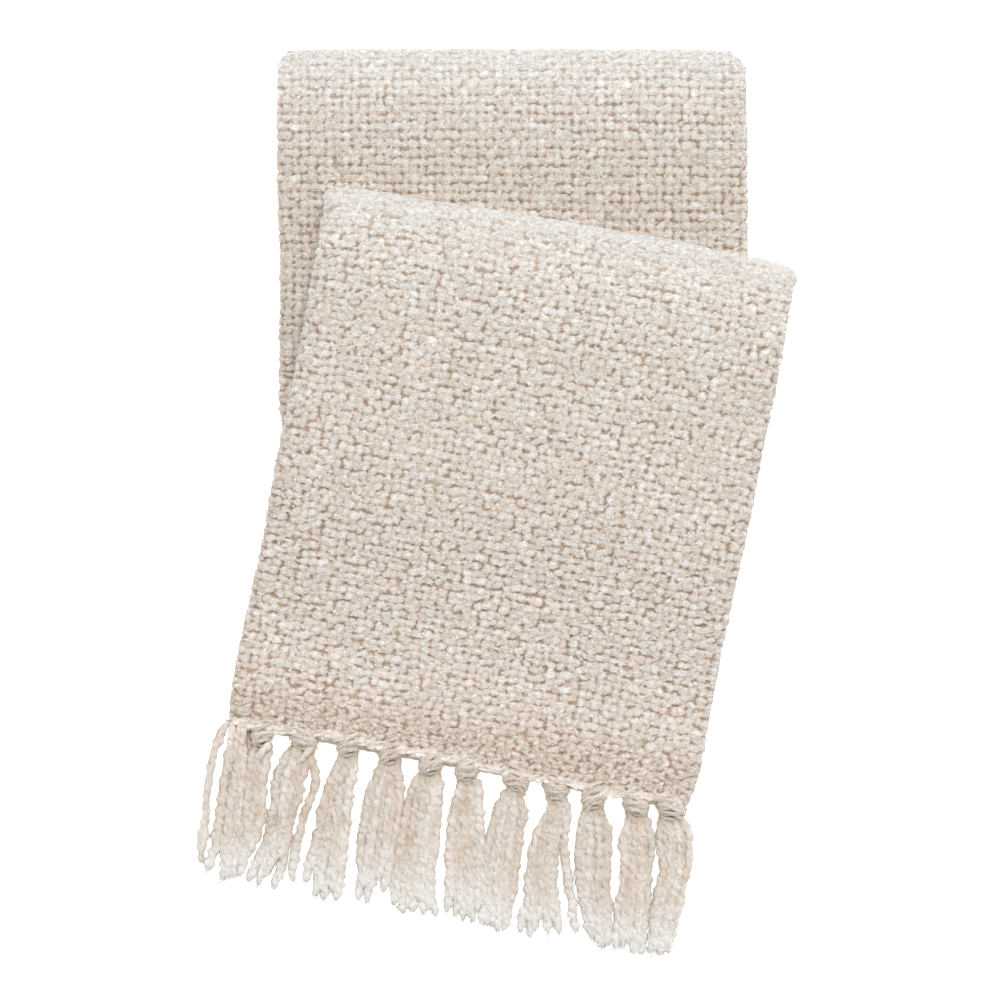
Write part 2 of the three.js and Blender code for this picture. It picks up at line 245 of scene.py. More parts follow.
mids = (LINES[:, 0:3] + LINES[:, 3:6]) / 2 + LINES[:, 6:9] * (P + LAYER / 2) + LINES[:, 10:13] * LINES[:, 9:10]
LINE_Q = np.concatenate([[0], np.cumsum(np.maximum(np.linalg.norm(np.diff(mids, axis=0), axis=1), 0.05))])
Q_FRONT, Q_FOLD1, Q_SECOND, Q_FOLD2, Q_BACK, Q_FOLD3, Q_END = [LINE_Q[m] for m in MARKS]


def place(s, q, h):
    """Point of the cloth at s across and q along, h over its middle, with the fold's far corners softened."""
    pos = place_square(s, q, h)
    inner = np.broadcast_to(np.asarray(q, float), pos.shape[:-1]) > Q_SECOND
    give = 1.8 * np.exp(-((pos[..., 1] - 215) / 40.0) ** 2) - 2.6 * np.exp(-((pos[..., 1] - 92) / 32.0) ** 2)
    pos[..., 0] += give * smooth(-165, -196, pos[..., 0]) * inner
    for cx, cy, r, sx in ((222.3, 404.3, 13.0, 1.0), (-201.0, 404.3, 9.0, -1.0)):
        ax, ay = (pos[..., 0] - (cx - sx * r)) * sx, pos[..., 1] - (cy - r)
        d = np.hypot(ax, ay)
        r0 = 0.62 * r
        new = r0 + (r - r0) * (1 - np.exp(-np.maximum(d - r0, 0) / (r - r0)))
        k = np.where((ax > 0) & (ay > 0) & (d > r0), new / np.maximum(d, 1e-6), 1.0)
        k = 1 + (k - 1) * smooth(0, 0.35, np.minimum(ax, ay) / np.maximum(np.maximum(ax, ay), 1e-6))
        pos[..., 0] = (cx - sx * r) + sx * ax * k
        pos[..., 1] = (cy - r) + ay * k
    return pos


def place_square(s, q, h):
    """The point at S across and Q along the strip, h above the middle of the cloth on its face side."""
    s, q, h = np.broadcast_arrays(np.asarray(s, float), np.asarray(q, float), np.asarray(h, float))
    sec = np.stack([np.interp(s, SEC_S, SEC[:, k]) for k in range(4)], -1)
    u = sec[..., 0] + sec[..., 2] * h
    w = sec[..., 1] + sec[..., 3] * h
    u = u + np.where(s > S_END, -(s - S_END), 0) + np.where(s < 0, -s, 0)
    line = np.stack([np.interp(q, LINE_Q, LINES[:, k]) for k in range(13)], -1)
    n = line[..., 6:9] / np.linalg.norm(line[..., 6:9], axis=-1, keepdims=True)
    x = np.clip(u / HALF, -1, 1)
    pos = line[..., 0:3] + (line[..., 3:6] - line[..., 0:3]) * (u / WIDTH + 0.5)[..., None]
    pos = pos + n * w[..., None] + line[..., 10:13] * (line[..., 9] * bow_shape(x))[..., None]
    pos = pos - line[..., 10:13] * np.where(q < 0, -q, 0)[..., None]
    return pos


# ------------------------------------------------------------------ meshes
def mesh_object(name, verts, faces, tone=None, uv=None, material=None):
    """verts in mm before the shift, faces a list of index arrays with 3 or 4 columns."""
    me = bpy.data.meshes.new(name)
    co = (np.asarray(verts) + SHIFT) * MM
    co[:, 2] = np.maximum(co[:, 2], 0.0002)
    me.vertices.add(len(co))
    me.vertices.foreach_set("co", co.astype(np.float32).ravel())
    loops = np.concatenate([f.ravel() for f in faces]).astype(np.int32)
    sizes = np.concatenate([np.full(len(f), f.shape[1]) for f in faces])
    starts = np.concatenate([[0], np.cumsum(sizes)[:-1]]).astype(np.int32)
    me.loops.add(len(loops))
    me.loops.foreach_set("vertex_index", loops)
    me.polygons.add(len(sizes))
    me.polygons.foreach_set("loop_start", starts)
    me.update(calc_edges=True)
    if uv is not None:
        layer = me.uv_layers.new(name="yarn")
        layer.data.foreach_set("uv", (np.asarray(uv)[loops]).astype(np.float32).ravel())
    if tone is not None:
        a = me.attributes.new("tone", "FLOAT_COLOR", "POINT")
        rgba = np.ones((len(co), 4), np.float32)
        rgba[:, : tone.shape[1]] = tone
        a.data.foreach_set("color", rgba.ravel())
    me.shade_smooth()
    me.validate()
    ob = bpy.data.objects.new(name, me)
    bpy.context.scene.collection.objects.link(ob)
    if material is not None:
        me.materials.append(material)
    return ob


class Bag:
    """Collects parts of one joined mesh."""

    def __init__(self):
        self.v, self.f, self.t, self.uv, self.n = [], [], [], [], 0

    def add(self, v, faces, tone, uv):
        self.v.append(v)
        self.t.append(tone)
        self.uv.append(uv)
        for f in faces:
            self.f.append(np.asarray(f) + self.n)
        self.n += len(v)

    def triangles(self):
        return sum(len(f) * (f.shape[1] - 2) for f in self.f)

    def make(self, name, material):
        quads = [f for f in self.f if f.shape[1] == 4]
        tris = [f for f in self.f if f.shape[1] == 3]
        faces = ([np.concatenate(quads)] if quads else []) + ([np.concatenate(tris)] if tris else [])
        return mesh_object(name, np.concatenate(self.v), faces, np.concatenate(self.t), np.concatenate(self.uv), material)


# ------------------------------------------------------------------ materials
TOP = np.array([srgb(234, 232, 230), srgb(230, 223, 218), srgb(229, 224, 218), srgb(229, 227, 223), srgb(237, 236, 235)])
# painted shade colours: the crevices between the nubs and the deeper pits
CREVICE_SHADE = srgb(204, 183, 162)
PIT_SHADE = srgb(173, 149, 127)
GROOVE_SHADE = srgb(216, 192, 163)


def yarn_material(name, streak=0.12, bump=0.9, mottle=0.09, curl=0.07):
    m = bpy.data.materials.new(name)
    m.use_nodes = True
    nt = m.node_tree
    nt.nodes.clear()
    new = nt.nodes.new
    out = new("ShaderNodeOutputMaterial")
    bsdf = new("ShaderNodeBsdfPrincipled")
    bsdf.inputs["Roughness"].default_value = 0.93
    bsdf.inputs["Specular IOR Level"].default_value = 0.2
    bsdf.inputs["Sheen Weight"].default_value = 0.18
    bsdf.inputs["Sheen Roughness"].default_value = 0.6
    bsdf.inputs["Sheen Tint"].default_value = (1.0, 0.97, 0.93, 1.0)
    nt.links.new(bsdf.outputs["BSDF"], out.inputs["Surface"])
    tone = new("ShaderNodeAttribute")
    tone.attribute_type = "GEOMETRY"
    tone.attribute_name = "tone"
    uv = new("ShaderNodeUVMap")
    uv.uv_map = "yarn"
    # fibres along the yarn: uv in mm, along the yarn and round it
    turn = new("ShaderNodeMapping")
    turn.inputs["Rotation"].default_value = (0, 0, math.radians(24))
    turn.inputs["Scale"].default_value = (0.16, 0.95, 1.0)
    nt.links.new(uv.outputs["UV"], turn.inputs["Vector"])
    fibre = new("ShaderNodeTexNoise")
    fibre.inputs["Scale"].default_value = 1.0
    fibre.inputs["Detail"].default_value = 3.0
    fibre.inputs["Roughness"].default_value = 0.6
    nt.links.new(turn.outputs["Vector"], fibre.inputs["Vector"])
    coord = new("ShaderNodeTexCoord")
    fuzz = new("ShaderNodeTexNoise")
    fuzz.inputs["Scale"].default_value = 620.0
    fuzz.inputs["Detail"].default_value = 2.0
    fuzz.inputs["Roughness"].default_value = 0.65
    nt.links.new(coord.outputs["Object"], fuzz.inputs["Vector"])
    # colour: the yarn's tone, streaked by its fibres and mottled
    s_map = new("ShaderNodeMapRange")
    s_map.inputs["From Min"].default_value = 0.3
    s_map.inputs["From Max"].default_value = 0.7
    s_map.inputs["To Min"].default_value = 1.0 - streak
    s_map.inputs["To Max"].default_value = 1.0 + streak
    nt.links.new(fibre.outputs["Fac"], s_map.inputs["Value"])
    f_map = new("ShaderNodeMapRange")
    f_map.inputs["From Min"].default_value = 0.3
    f_map.inputs["From Max"].default_value = 0.7
    f_map.inputs["To Min"].default_value = 1.0 - mottle
    f_map.inputs["To Max"].default_value = 1.0 + mottle
    nt.links.new(fuzz.outputs["Fac"], f_map.inputs["Value"])
    # small curls of the fibres, a few to each nub, painted lighter at their middles and darker at their rims as their
    # own light and shade
    warp = new("ShaderNodeVectorMath")
    warp.operation = "MULTIPLY_ADD"
    warp.inputs[1].default_value = (0.0022, 0.0022, 0.0022)
    nt.links.new(fuzz.outputs["Color"], warp.inputs[0])
    nt.links.new(coord.outputs["Object"], warp.inputs[2])
    curls = new("ShaderNodeTexVoronoi")
    curls.inputs["Scale"].default_value = 360.0
    nt.links.new(warp.outputs["Vector"], curls.inputs["Vector"])
    c_map = new("ShaderNodeMapRange")
    c_map.inputs["From Min"].default_value = 0.1
    c_map.inputs["From Max"].default_value = 0.75
    c_map.inputs["To Min"].default_value = 1.0 + 0.6 * curl
    c_map.inputs["To Max"].default_value = 1.0 - curl
    nt.links.new(curls.outputs["Distance"], c_map.inputs["Value"])
    first = new("ShaderNodeMath")
    first.operation = "MULTIPLY"
    nt.links.new(s_map.outputs["Result"], first.inputs[0])
    nt.links.new(c_map.outputs["Result"], first.inputs[1])
    both = new("ShaderNodeMath")
    both.operation = "MULTIPLY"
    nt.links.new(first.outputs["Value"], both.inputs[0])
    nt.links.new(f_map.outputs["Result"], both.inputs[1])
    tint = new("ShaderNodeVectorMath")
    tint.operation = "SCALE"
    nt.links.new(tone.outputs["Color"], tint.inputs[0])
    nt.links.new(both.outputs["Value"], tint.inputs["Scale"])
    # the darker parts, painted curl rims and the fibres' own darker tone, are also the warmer ones
    w_map = new("ShaderNodeMapRange")
    w_map.inputs["From Min"].default_value = 0.80
    w_map.inputs["From Max"].default_value = 1.06
    nt.links.new(both.outputs["Value"], w_map.inputs["Value"])
    warm = new("ShaderNodeValToRGB")
    warm.color_ramp.elements[0].color = (1.0, 0.955, 0.895, 1.0)
    warm.color_ramp.elements[1].color = (1.0, 1.0, 1.0, 1.0)
    nt.links.new(w_map.outputs["Result"], warm.inputs["Fac"])
    hued = new("ShaderNodeVectorMath")
    hued.operation = "MULTIPLY"
    nt.links.new(tint.outputs["Vector"], hued.inputs[0])
    nt.links.new(warm.outputs["Color"], hued.inputs[1])
    nt.links.new(hued.outputs["Vector"], bsdf.inputs["Base Color"])
    # bump: fibres and fuzz
    height = new("ShaderNodeMath")
    height.operation = "MULTIPLY_ADD"
    height.inputs[1].default_value = 0.5
    nt.links.new(fuzz.outputs["Fac"], height.inputs[0])
    nt.links.new(fibre.outputs["Fac"], height.inputs[2])
    lumps = new("ShaderNodeMath")
    lumps.operation = "MULTIPLY_ADD"
    lumps.inputs[1].default_value = -0.55
    nt.links.new(curls.outputs["Distance"], lumps.inputs[0])
    nt.links.new(height.outputs["Value"], lumps.inputs[2])
    b = new("ShaderNodeBump")
    b.inputs["Strength"].default_value = bump
    b.inputs["Distance"].default_value = 0.0014
    nt.links.new(lumps.outputs["Value"], b.inputs["Height"])
    nt.links.new(b.outputs["Normal"], bsdf.inputs["Normal"])
    return m


NUB_MAT = yarn_material("boucle_nubs")
FACE_MAT = yarn_material("boucle_face", streak=0.15, mottle=0.13, curl=0.11)
CORE_MAT = yarn_material("boucle_ground", streak=0.2, bump=0.8, mottle=0.1)
STRAND_MAT = yarn_material("fringe_yarn", streak=0.08, bump=0.8, mottle=0.07, curl=0.05)


def covered_back(i_s, q):
    """True where the back run's face lies under the front run, apart from two rows."""
    pos = place(i_s, q, LAYER / 2)
    x, y = pos[..., 0], pos[..., 1]
    edge = 261.4 + (x + 156.2) * (189.7 - 261.4) / 417.4
    side = np.array([(r[2], r[1]) for r in FRONT_RUN] + [(261.4, -156.2)])
    left = np.interp(y, side[:, 0], side[:, 1])
    return (y < edge - 12) & (x > left + 14)


# ------------------------------------------------------------------ nubs
# The face of the cloth is a relief: each place where a yarn comes over another is a nub,
# an uneven dome, and the domes run softly into one another.
FLOOR = -0.45            # bottom of the crevices, from the solid's surface
SOFT = 8.5               # how sharply two nubs meet
SEAM = 2.6               # how wide the crease between them is: less is wider


def nub_table(s_from, s_to, q_from, q_to, row_list, first_row, loose, seed=0):
    """Middles, sizes, turns and tones of the nubs in a part of the face."""
    cols = np.arange(math.floor((s_from - 12) / COLUMN), math.ceil((s_to + 12) / COLUMN) + 1)
    ci, rj = np.meshgrid(cols, np.arange(len(row_list)))
    ci, rj = ci.ravel() + 40, rj.ravel() + first_row
    q = np.asarray(row_list)[rj - first_row]
    s = (ci - 40) * COLUMN
    pitch = np.gradient(np.asarray(row_list))[rj - first_row]
    keep = (q > q_from - 14) & (q < q_to + 14)
    ci, rj, q, s, pitch = ci[keep], rj[keep], q[keep], s[keep], pitch[keep]
    weft = ((ci + rj) % 2) == 0
    k = [pick(ci, rj, seed + n) for n in range(14)]
    weft_thick = 1 + 0.22 * noise(ci / 2.2, rj * 5.37, 1) + 0.14 * noise(ci / 7.0, rj * 3.71, 2)
    warp_thick = 1 + 0.16 * noise(rj / 2.4, ci * 4.13, 3) + 0.10 * noise(rj / 8.0, ci * 6.91, 4)
    ra = np.where(weft, COLUMN * (0.60 + 0.28 * k[1]), COLUMN * (0.50 + 0.17 * k[1]) * warp_thick)
    rb = np.where(weft, pitch * (0.49 + 0.13 * k[2]) * weft_thick, pitch * (0.52 + 0.16 * k[2]))
    rc = np.where(weft, 2.5 * weft_thick, 2.25 * warp_thick) * (0.78 + 0.38 * k[3]) * np.minimum(1, pitch / 6.8) ** 0.6
    slub = (k[4] > 0.94) & weft
    ra, rc = np.where(slub, ra * 1.35, ra), np.where(slub, rc * 1.15, rc)
    tilt = np.where(weft, math.radians(10), math.radians(-8)) + np.radians(60) * (k[5] - 0.5)
    ds = loose * (1.5 * noise(ci / 3.3, rj / 2.1, 5) + 4.2 * (k[6] - 0.5))
    dq = loose * (1.5 * noise(ci / 4.1, rj / 2.3, 6) + 3.4 * (k[7] - 0.5))
    h0 = -0.35 + 0.8 * (k[8] - 0.5)
    yarn = 0.5 + 0.5 * noise(np.where(weft, ci / 4.0, rj / 4.0), np.where(weft, rj * 2.3, ci * 2.9), 12)
    idx = np.clip((k[9] * 0.6 + yarn * 0.4) * 4.999, 0, 4).astype(int)
    tone = TOP[idx] * (0.91 + 0.12 * k[10] + 0.03 * noise(ci / 6.0, rj * 1.7, 13))[:, None]
    return dict(s=s + ds, q=q + dq, ra=ra, rb=rb, rc=rc, h0=h0, tilt=tilt, tone=tone,
                phase=6.28 * k[11], twist=np.where(weft, 0.5, -0.5) + 0.3 * (k[12] - 0.5))


def curl_table(s_from, s_to, q_from, q_to, per_cm2, seed):
    """Small loops and lumps of the yarn's effect thread, spread over the nubs."""
    rnd = np.random.RandomState(seed)
    n = int((s_to - s_from) * (q_to - q_from) / 100 * per_cm2)
    r = 1.0 + 0.9 * rnd.rand(n)
    idx = rnd.randint(0, 5, n)
    return dict(s=s_from + (s_to - s_from) * rnd.rand(n), q=q_from + (q_to - q_from) * rnd.rand(n),
                ra=r * (1.0 + 0.9 * rnd.rand(n)), rb=r * 0.8, rc=1.0 + 0.7 * rnd.rand(n), h0=0.15 + 1.1 * rnd.rand(n),
                tilt=math.pi * (rnd.rand(n) - 0.5), tone=TOP[idx] * (0.96 + 0.09 * rnd.rand(n))[:, None],
                phase=6.28 * rnd.rand(n), twist=rnd.rand(n) - 0.5)


def relief(gs, gq, tables, seed=0):
    """Height over the solid's surface, and yarn tone, on the grid gs by gq."""
    ds, dq, ns, nq = gs[1] - gs[0], gq[1] - gq[0], len(gs), len(gq)
    GS, GQ = np.meshgrid(gs, gq)
    WX = 0.75 * noise(GS / 5.3, GQ / 4.7, 14) + 0.55 * noise(GS / 2.1, GQ / 2.3, 15)
    WY = 0.65 * noise(GS / 5.1, GQ / 4.9, 16) + 0.50 * noise(GS / 2.2, GQ / 2.0, 17)
    total = np.full(ns * nq, math.exp(SOFT * FLOOR))
    near = np.full(ns * nq, math.exp(SEAM * FLOOR))
    near2 = near**2
    # the crevice floor under the nubs starts with the painted crevice shade
    colour = np.repeat((CREVICE_SHADE[None] * 0.95), ns * nq, 0) * math.exp(SOFT * FLOOR)
    for tab in tables:
        n = len(tab["s"])
        wi, wj = int(11.0 / ds) + 1, int(8.5 / dq) + 1
        if tab["ra"].max() < 5:
            wi, wj = int(4.0 / ds) + 1, int(4.0 / dq) + 1
        for c0 in range(0, n, 800):
            t = {k: v[c0 : c0 + 800] for k, v in tab.items()}
            i0, j0 = np.round((t["s"] - gs[0]) / ds).astype(int), np.round((t["q"] - gq[0]) / dq).astype(int)
            I = i0[:, None, None] + np.arange(-wi, wi + 1)[None, None, :]
            J = j0[:, None, None] + np.arange(-wj, wj + 1)[None, :, None]
            I, J = np.broadcast_arrays(I, J)
            ok = (I >= 0) & (I < ns) & (J >= 0) & (J < nq)
            Ic, Jc = np.clip(I, 0, ns - 1), np.clip(J, 0, nq - 1)
            x = gs[0] + I * ds - t["s"][:, None, None] + WX[Jc, Ic]
            y = gq[0] + J * dq - t["q"][:, None, None] + WY[Jc, Ic]
            ct, st = np.cos(t["tilt"])[:, None, None], np.sin(t["tilt"])[:, None, None]
            a, b = x * ct + y * st, -x * st + y * ct
            d = np.abs(a / t["ra"][:, None, None]) ** 2.2 + np.abs(b / t["rb"][:, None, None]) ** 2.2
            f = np.where(d < 1, np.maximum(1 - d, 0) ** 0.62, -1.2 * (d - 1))
            groove = np.sin(6.28 * (b + t["twist"][:, None, None] * a) / 2.7 + t["phase"][:, None, None])
            h = t["h0"][:, None, None] + t["rc"][:, None, None] * f + 0.13 * groove * np.clip(1 - d, 0, 1)
            w = np.where(ok, np.exp(SOFT * np.clip(h, -6, 5)), 0.0)
            flat = (Jc * ns + Ic).ravel()
            shade = 1 + 0.035 * groove
            total += np.bincount(flat, w.ravel(), ns * nq)
            wide = np.where(ok, np.exp(SEAM * np.clip(h, -6, 5)), 0.0)
            near += np.bincount(flat, wide.ravel(), ns * nq)
            near2 += np.bincount(flat, (wide**2).ravel(), ns * nq)
            for ch in range(3):
                colour[:, ch] += np.bincount(flat, (w * shade * t["tone"][:, ch][:, None, None]).ravel(), ns * nq)
    H = (np.log(total) / SOFT).reshape(nq, ns)
    C = (colour / total[:, None]).reshape(nq, ns, 3)
    seam = smooth(1.25, 2.1, (near**2 / near2).reshape(nq, ns))
    H = H - 0.5 * seam
    H = H + 0.10 * noise(GS / 1.9, GQ / 1.7, 18) + 0.05 * noise(GS / 1.1, GQ / 1.1, 19)
    return GS, GQ, H, C, seam


def blur(a, r):
    k = 2 * r + 1
    p = np.pad(a, r, mode="edge")
    c = np.cumsum(np.pad(p, ((1, 0), (0, 0))), axis=0)
    p = (c[k:] - c[:-k]) / k
    c = np.cumsum(np.pad(p, ((0, 0), (1, 0))), axis=1)
    return (c[:, k:] - c[:, :-k]) / k


def shade_relief(GS, GQ, H, C, seam, quiet, calm):
    """Painted shade, warm and darker, deep between the nubs, and painted highlights on their tops. quiet, 0 to 1, evens
    it out and pales it towards painted light.
    """
    cav = H - blur(H, 4)
    # painted shade in the crevices and pits, varied at random, stronger near the hem and weaker near the folds
    near_hem = np.exp(-((GQ - 20) / 22.0) ** 2)
    deep = np.maximum(smooth(-0.05, -1.15, cav), 0.5 * seam) * (1 - 0.5 * quiet)
    pit = smooth(-0.85, -1.8, cav) * (1 - 0.7 * quiet)
    crevice_shade_noise = 0.5 + 0.5 * noise(GS / 9.0, GQ / 7.0, 25)
    deep = np.minimum(deep * (0.75 + 0.25 * crevice_shade_noise) * (1 + 0.55 * near_hem) * (1 - 0.24 * calm), 1)
    pit = pit * (1 - 0.3 * calm)
    C = C * (1 - deep[..., None]) + (C * 0.3 + CREVICE_SHADE * 0.7) * (deep * (1 - 0.13 * near_hem))[..., None]
    C = C * (1 - pit[..., None]) + PIT_SHADE * pit[..., None]
    speck = 1 + 0.05 * noise(GS / 1.3, GQ / 1.2, 26) + 0.04 * noise(GS / 0.8, GQ / 0.8, 27)
    # painted highlight on the nub tops
    top = smooth(0.1, 1.3, cav)
    C = C * speck[..., None] * (1.042 + top[..., None] * np.array([0.068, 0.088, 0.108]))
    # painted shade on the nubs' flanks
    flank = smooth(0.8, -0.4, cav) * (1 - quiet)
    C = C * (1 - flank[..., None] * np.array([0.045, 0.065, 0.09]))
    # painted shade over the band of cloth above the hem
    C = C * (1 - (smooth(6, 12, GQ) * (1 - smooth(24, 72, GQ)))[..., None] * np.array([0.095, 0.135, 0.165]))
    # quiet: pale painted light where the cloth rolls over its folds
    return C * (1 - 0.4 * quiet[..., None]) + srgb(236, 234, 231) * 0.4 * quiet[..., None]


# painted light and shade: gain of the yarn's colour, red green blue, by distance along the cloth from the fold's tip
FRONT_LIGHT_GAIN = ([10, 18, 30, 51, 87, 120, 220, 300, 450],
              [0.945, 0.990, 1.050, 1.060, 1.000, 0.975, 0.980, 1.000, 1.042],
              [0.964, 0.999, 1.058, 1.066, 1.004, 0.967, 0.962, 0.978, 1.022],
              [0.990, 1.015, 1.060, 1.070, 1.000, 0.953, 0.955, 0.967, 1.011])
BACK_LIGHT_GAIN = ([8, 14, 22, 45, 60, 90, 120, 160, 200, 250],
             [1.00, 1.00, 1.08, 1.10, 1.06, 1.02, 0.97, 0.96, 0.96, 0.91],
             [1.03, 1.01, 1.10, 1.12, 1.05, 1.01, 0.95, 0.935, 0.935, 0.89],
             [1.07, 1.03, 1.12, 1.13, 1.045, 1.005, 0.915, 0.905, 0.905, 0.87])


def gain(x, table):
    return np.stack([np.interp(x, table[0], row) for row in table[1:]], -1)


# how far the front fold bulges over the smooth solid, by pixel column
FOLD_PX = [320, 335, 362, 382, 402, 465, 488, 515, 590, 620, 642, 690, 712, 735, 752, 764, 790]
FOLD_UP = [3.6, 4.2, 3.8, 2.8, 1.0, 0.8, 2.0, 2.8, 2.6, 2.0, 2.9, 3.0, 1.7, 1.6, 3.2, 4.4, 3.4]


def panel(name, s0, s1, q0, q1, cell_s, cell_q, row_list, first_row, loose, hide=None, seed=0, light=1.0, gap=1.0):
    """A piece of the cloth's face with its nubs, from s0 to s1 across and q0 to q1 along."""
    gs = np.linspace(s0, s1, int(round((s1 - s0) / cell_s)) + 1)
    gq = np.linspace(q0, q1, int(round((q1 - q0) / cell_q)) + 1)
    tables = [nub_table(s0, s1, q0, q1, row_list, first_row, loose, 0), curl_table(s0, s1, q0, q1, 3.2, 50 + seed)]
    tables[0]["ra"] = tables[0]["ra"] * gap
    tables[0]["rb"] = tables[0]["rb"] * gap
    GS, GQ, H, C, seam = relief(gs, gq, tables)
    from_hem = GQ
    from_fold = np.where(GQ < Q_FOLD1, np.abs((Q_FRONT + Q_FOLD1) / 2 - GQ), np.abs(GQ - (Q_BACK + Q_FOLD3) / 2))
    # near_fold: where the cloth rolls over a fold, evened out and paled as painted light
    near_fold = np.maximum(np.exp(-(np.maximum(Q_FRONT + 22 - GQ, 0) / 30.0) ** 2), np.exp(-((GQ - (Q_BACK + 22)) / 32.0) ** 2))
    near_fold = np.where(GQ > Q_FOLD1 + 30, np.exp(-((GQ - (Q_BACK + 22)) / 34.0) ** 2), near_fold)
    side = 1 - np.minimum(smooth(S_LEFT0 + 0.5, S_LEFT0 + 6.0, GS), 1 - smooth(S_RIGHT1 - 6.0, S_RIGHT1 - 0.5, GS))
    C = shade_relief(GS, GQ, H * (1 - 0.55 * side), C, seam * (1 - 0.6 * side), near_fold, np.exp(-(from_fold / 80.0) ** 2)) * light
    H = H * (1 - 0.34 * near_fold)
    side = side[..., None]
    # painted shade: a grey band along the rolled side edges, a little darker on the right, and the front's face darker
    # towards its sides
    C = C * (1 - 0.72 * side) + srgb(209, 205, 200) * 0.72 * side
    C = C * (1 - 0.06 * smooth(S_RIGHT1 - 9.0, S_RIGHT1 - 3.0, GS))[..., None]
    inward = np.minimum(GS - S_LEFT0, S_RIGHT1 - GS)
    C = C * (1 - 0.055 * (1 - smooth(8.0, 30.0, inward)) * (GQ < Q_FOLD1))[..., None]
    # the light the cloth catches where it rises to its folds, and less of it lower down
    C = C * np.where((from_hem < Q_FOLD1)[..., None], gain(from_fold, FRONT_LIGHT_GAIN), np.where((from_hem > Q_FOLD2)[..., None], gain(from_fold, BACK_LIGHT_GAIN), 1.0))
    # calmer where the cloth is tucked under itself, and rolled down over the hem
    edge = np.minimum(smooth(S_LEFT0 - 1, S_LEFT0 + 7, GS), 1 - smooth(S_RIGHT1 - 9, S_RIGHT1 + 1, GS))
    H = np.where(H > 0, H * (0.15 + 0.85 * edge), H)
    tip = (Q_FRONT + Q_FOLD1) / 2
    column = place(GS[0], tip, 0.0)[:, 0] / 0.9 + 500
    lift = 0.9 * np.interp(column, FOLD_PX, FOLD_UP)
    H = H + lift[None, :] * np.exp(-((GQ - tip) / 15.0) ** 2)
    h = LAYER / 2 + H
    roll = np.clip((10.5 - GQ) / 8.0, 0, 1)
    h = (h + LAYER / 2) * np.sqrt(1 - roll**2 * 0.95) - LAYER / 2
    pos = place(GS, GQ, h)
    if q0 > Q_FOLD2:  # light thrown back by the raised front fold onto the cloth beside it
        off = pos[..., 1] / 0.9055 - np.interp(pos[..., 0] / 0.9055, [-165, -20, 120, 240], [310, 294, 264, 242])
        beside = np.exp(-(np.maximum(off, 0) / 13.5) ** 2) * smooth(-16, -6, off) * smooth(-188, -165, pos[..., 0] / 0.9055)
        C = C * (1 + 0.19 * beside)[..., None]
    nq, ns = GS.shape
    idx = np.arange(ns * nq).reshape(nq, ns)
    quads = np.stack([idx[:-1, :-1], idx[:-1, 1:], idx[1:, 1:], idx[1:, :-1]], -1).reshape(-1, 4)
    if hide is not None:
        drop_q = hide(GS, GQ)
        gone = (drop_q[:-1, :-1] & drop_q[:-1, 1:] & drop_q[1:, 1:] & drop_q[1:, :-1]).ravel()
        quads = quads[~gone]
    used = np.zeros(ns * nq, bool)
    used[quads.ravel()] = True
    renum = np.cumsum(used) - 1
    v = pos.reshape(-1, 3)[used]
    uv = np.stack([GS, GQ], -1).reshape(-1, 2)[used]
    ob = mesh_object(name, v, [renum[quads]], C.reshape(-1, 3)[used], uv, FACE_MAT)
    print(name, len(quads) * 2, "triangles")
    return ob


def hairs(bag, root, way, length, rad, tone, rnd):
    """Fine fibres that stand out of the yarn: thin, bent and drawn to a point."""
    n = len(root)
    way = way / np.linalg.norm(way, axis=1, keepdims=True)
    side = np.cross(way, rnd.rand(n, 3) - 0.5)
    side /= np.linalg.norm(side, axis=1, keepdims=True)
    other = np.cross(way, side)
    length, rad = length[:, None], rad[:, None]
    mid = root + way * length * 0.5 + side * length * 0.10
    tip = root + way * length * 0.92 + side * length * 0.42
    rings = []
    for c, r in ((root, rad), (mid, rad * 0.8)):
        for k in range(3):
            rings.append(c + (side * math.cos(2.0944 * k) + other * math.sin(2.0944 * k)) * r)
    v = np.stack(rings + [tip], 1).reshape(-1, 3)
    base = (np.arange(n) * 7)[:, None, None]
    quads = (base + np.array([[0, 1, 4, 3], [1, 2, 5, 4], [2, 0, 3, 5]])[None]).reshape(-1, 4)
    tris = (base + np.array([[3, 4, 6], [4, 5, 6], [5, 3, 6]])[None]).reshape(-1, 3)
    uv = np.stack([np.tile(np.arange(7) * 0.7, n), np.repeat(rnd.rand(n) * 90, 7)], -1)
    bag.add(v, [quads, tris], np.repeat(tone, 7, 0), uv)


def face_hairs(bag, n, s0, s1, q0, q1, seed, keep=None, flat=0.75):
    rnd = np.random.RandomState(seed)
    s, q = s0 + (s1 - s0) * rnd.rand(n), q0 + (q1 - q0) * rnd.rand(n)
    if keep is not None:
        ok = keep(s, q)
        s, q, n = s[ok], q[ok], int(ok.sum())
    root = place(s, q, LAYER / 2 + 0.6)
    up = place(s, q, LAYER / 2 + 1.6) - root
    along = place(s + 1.0, q, LAYER / 2 + 0.6) - root
    along /= np.linalg.norm(along, axis=1, keepdims=True)
    cross = np.cross(up, along)
    a = 6.2832 * rnd.rand(n)[:, None]
    lean = flat + (1 - flat) * rnd.rand(n)[:, None]
    way = up * (1.35 - lean) + (along * np.cos(a) + cross * np.sin(a)) * lean
    tone = TOP[rnd.randint(0, 5, n)] * 1.03
    hairs(bag, root, way, 2.5 + 3.5 * rnd.rand(n), 0.15 + 0.12 * rnd.rand(n), np.minimum(tone, 0.94), rnd)


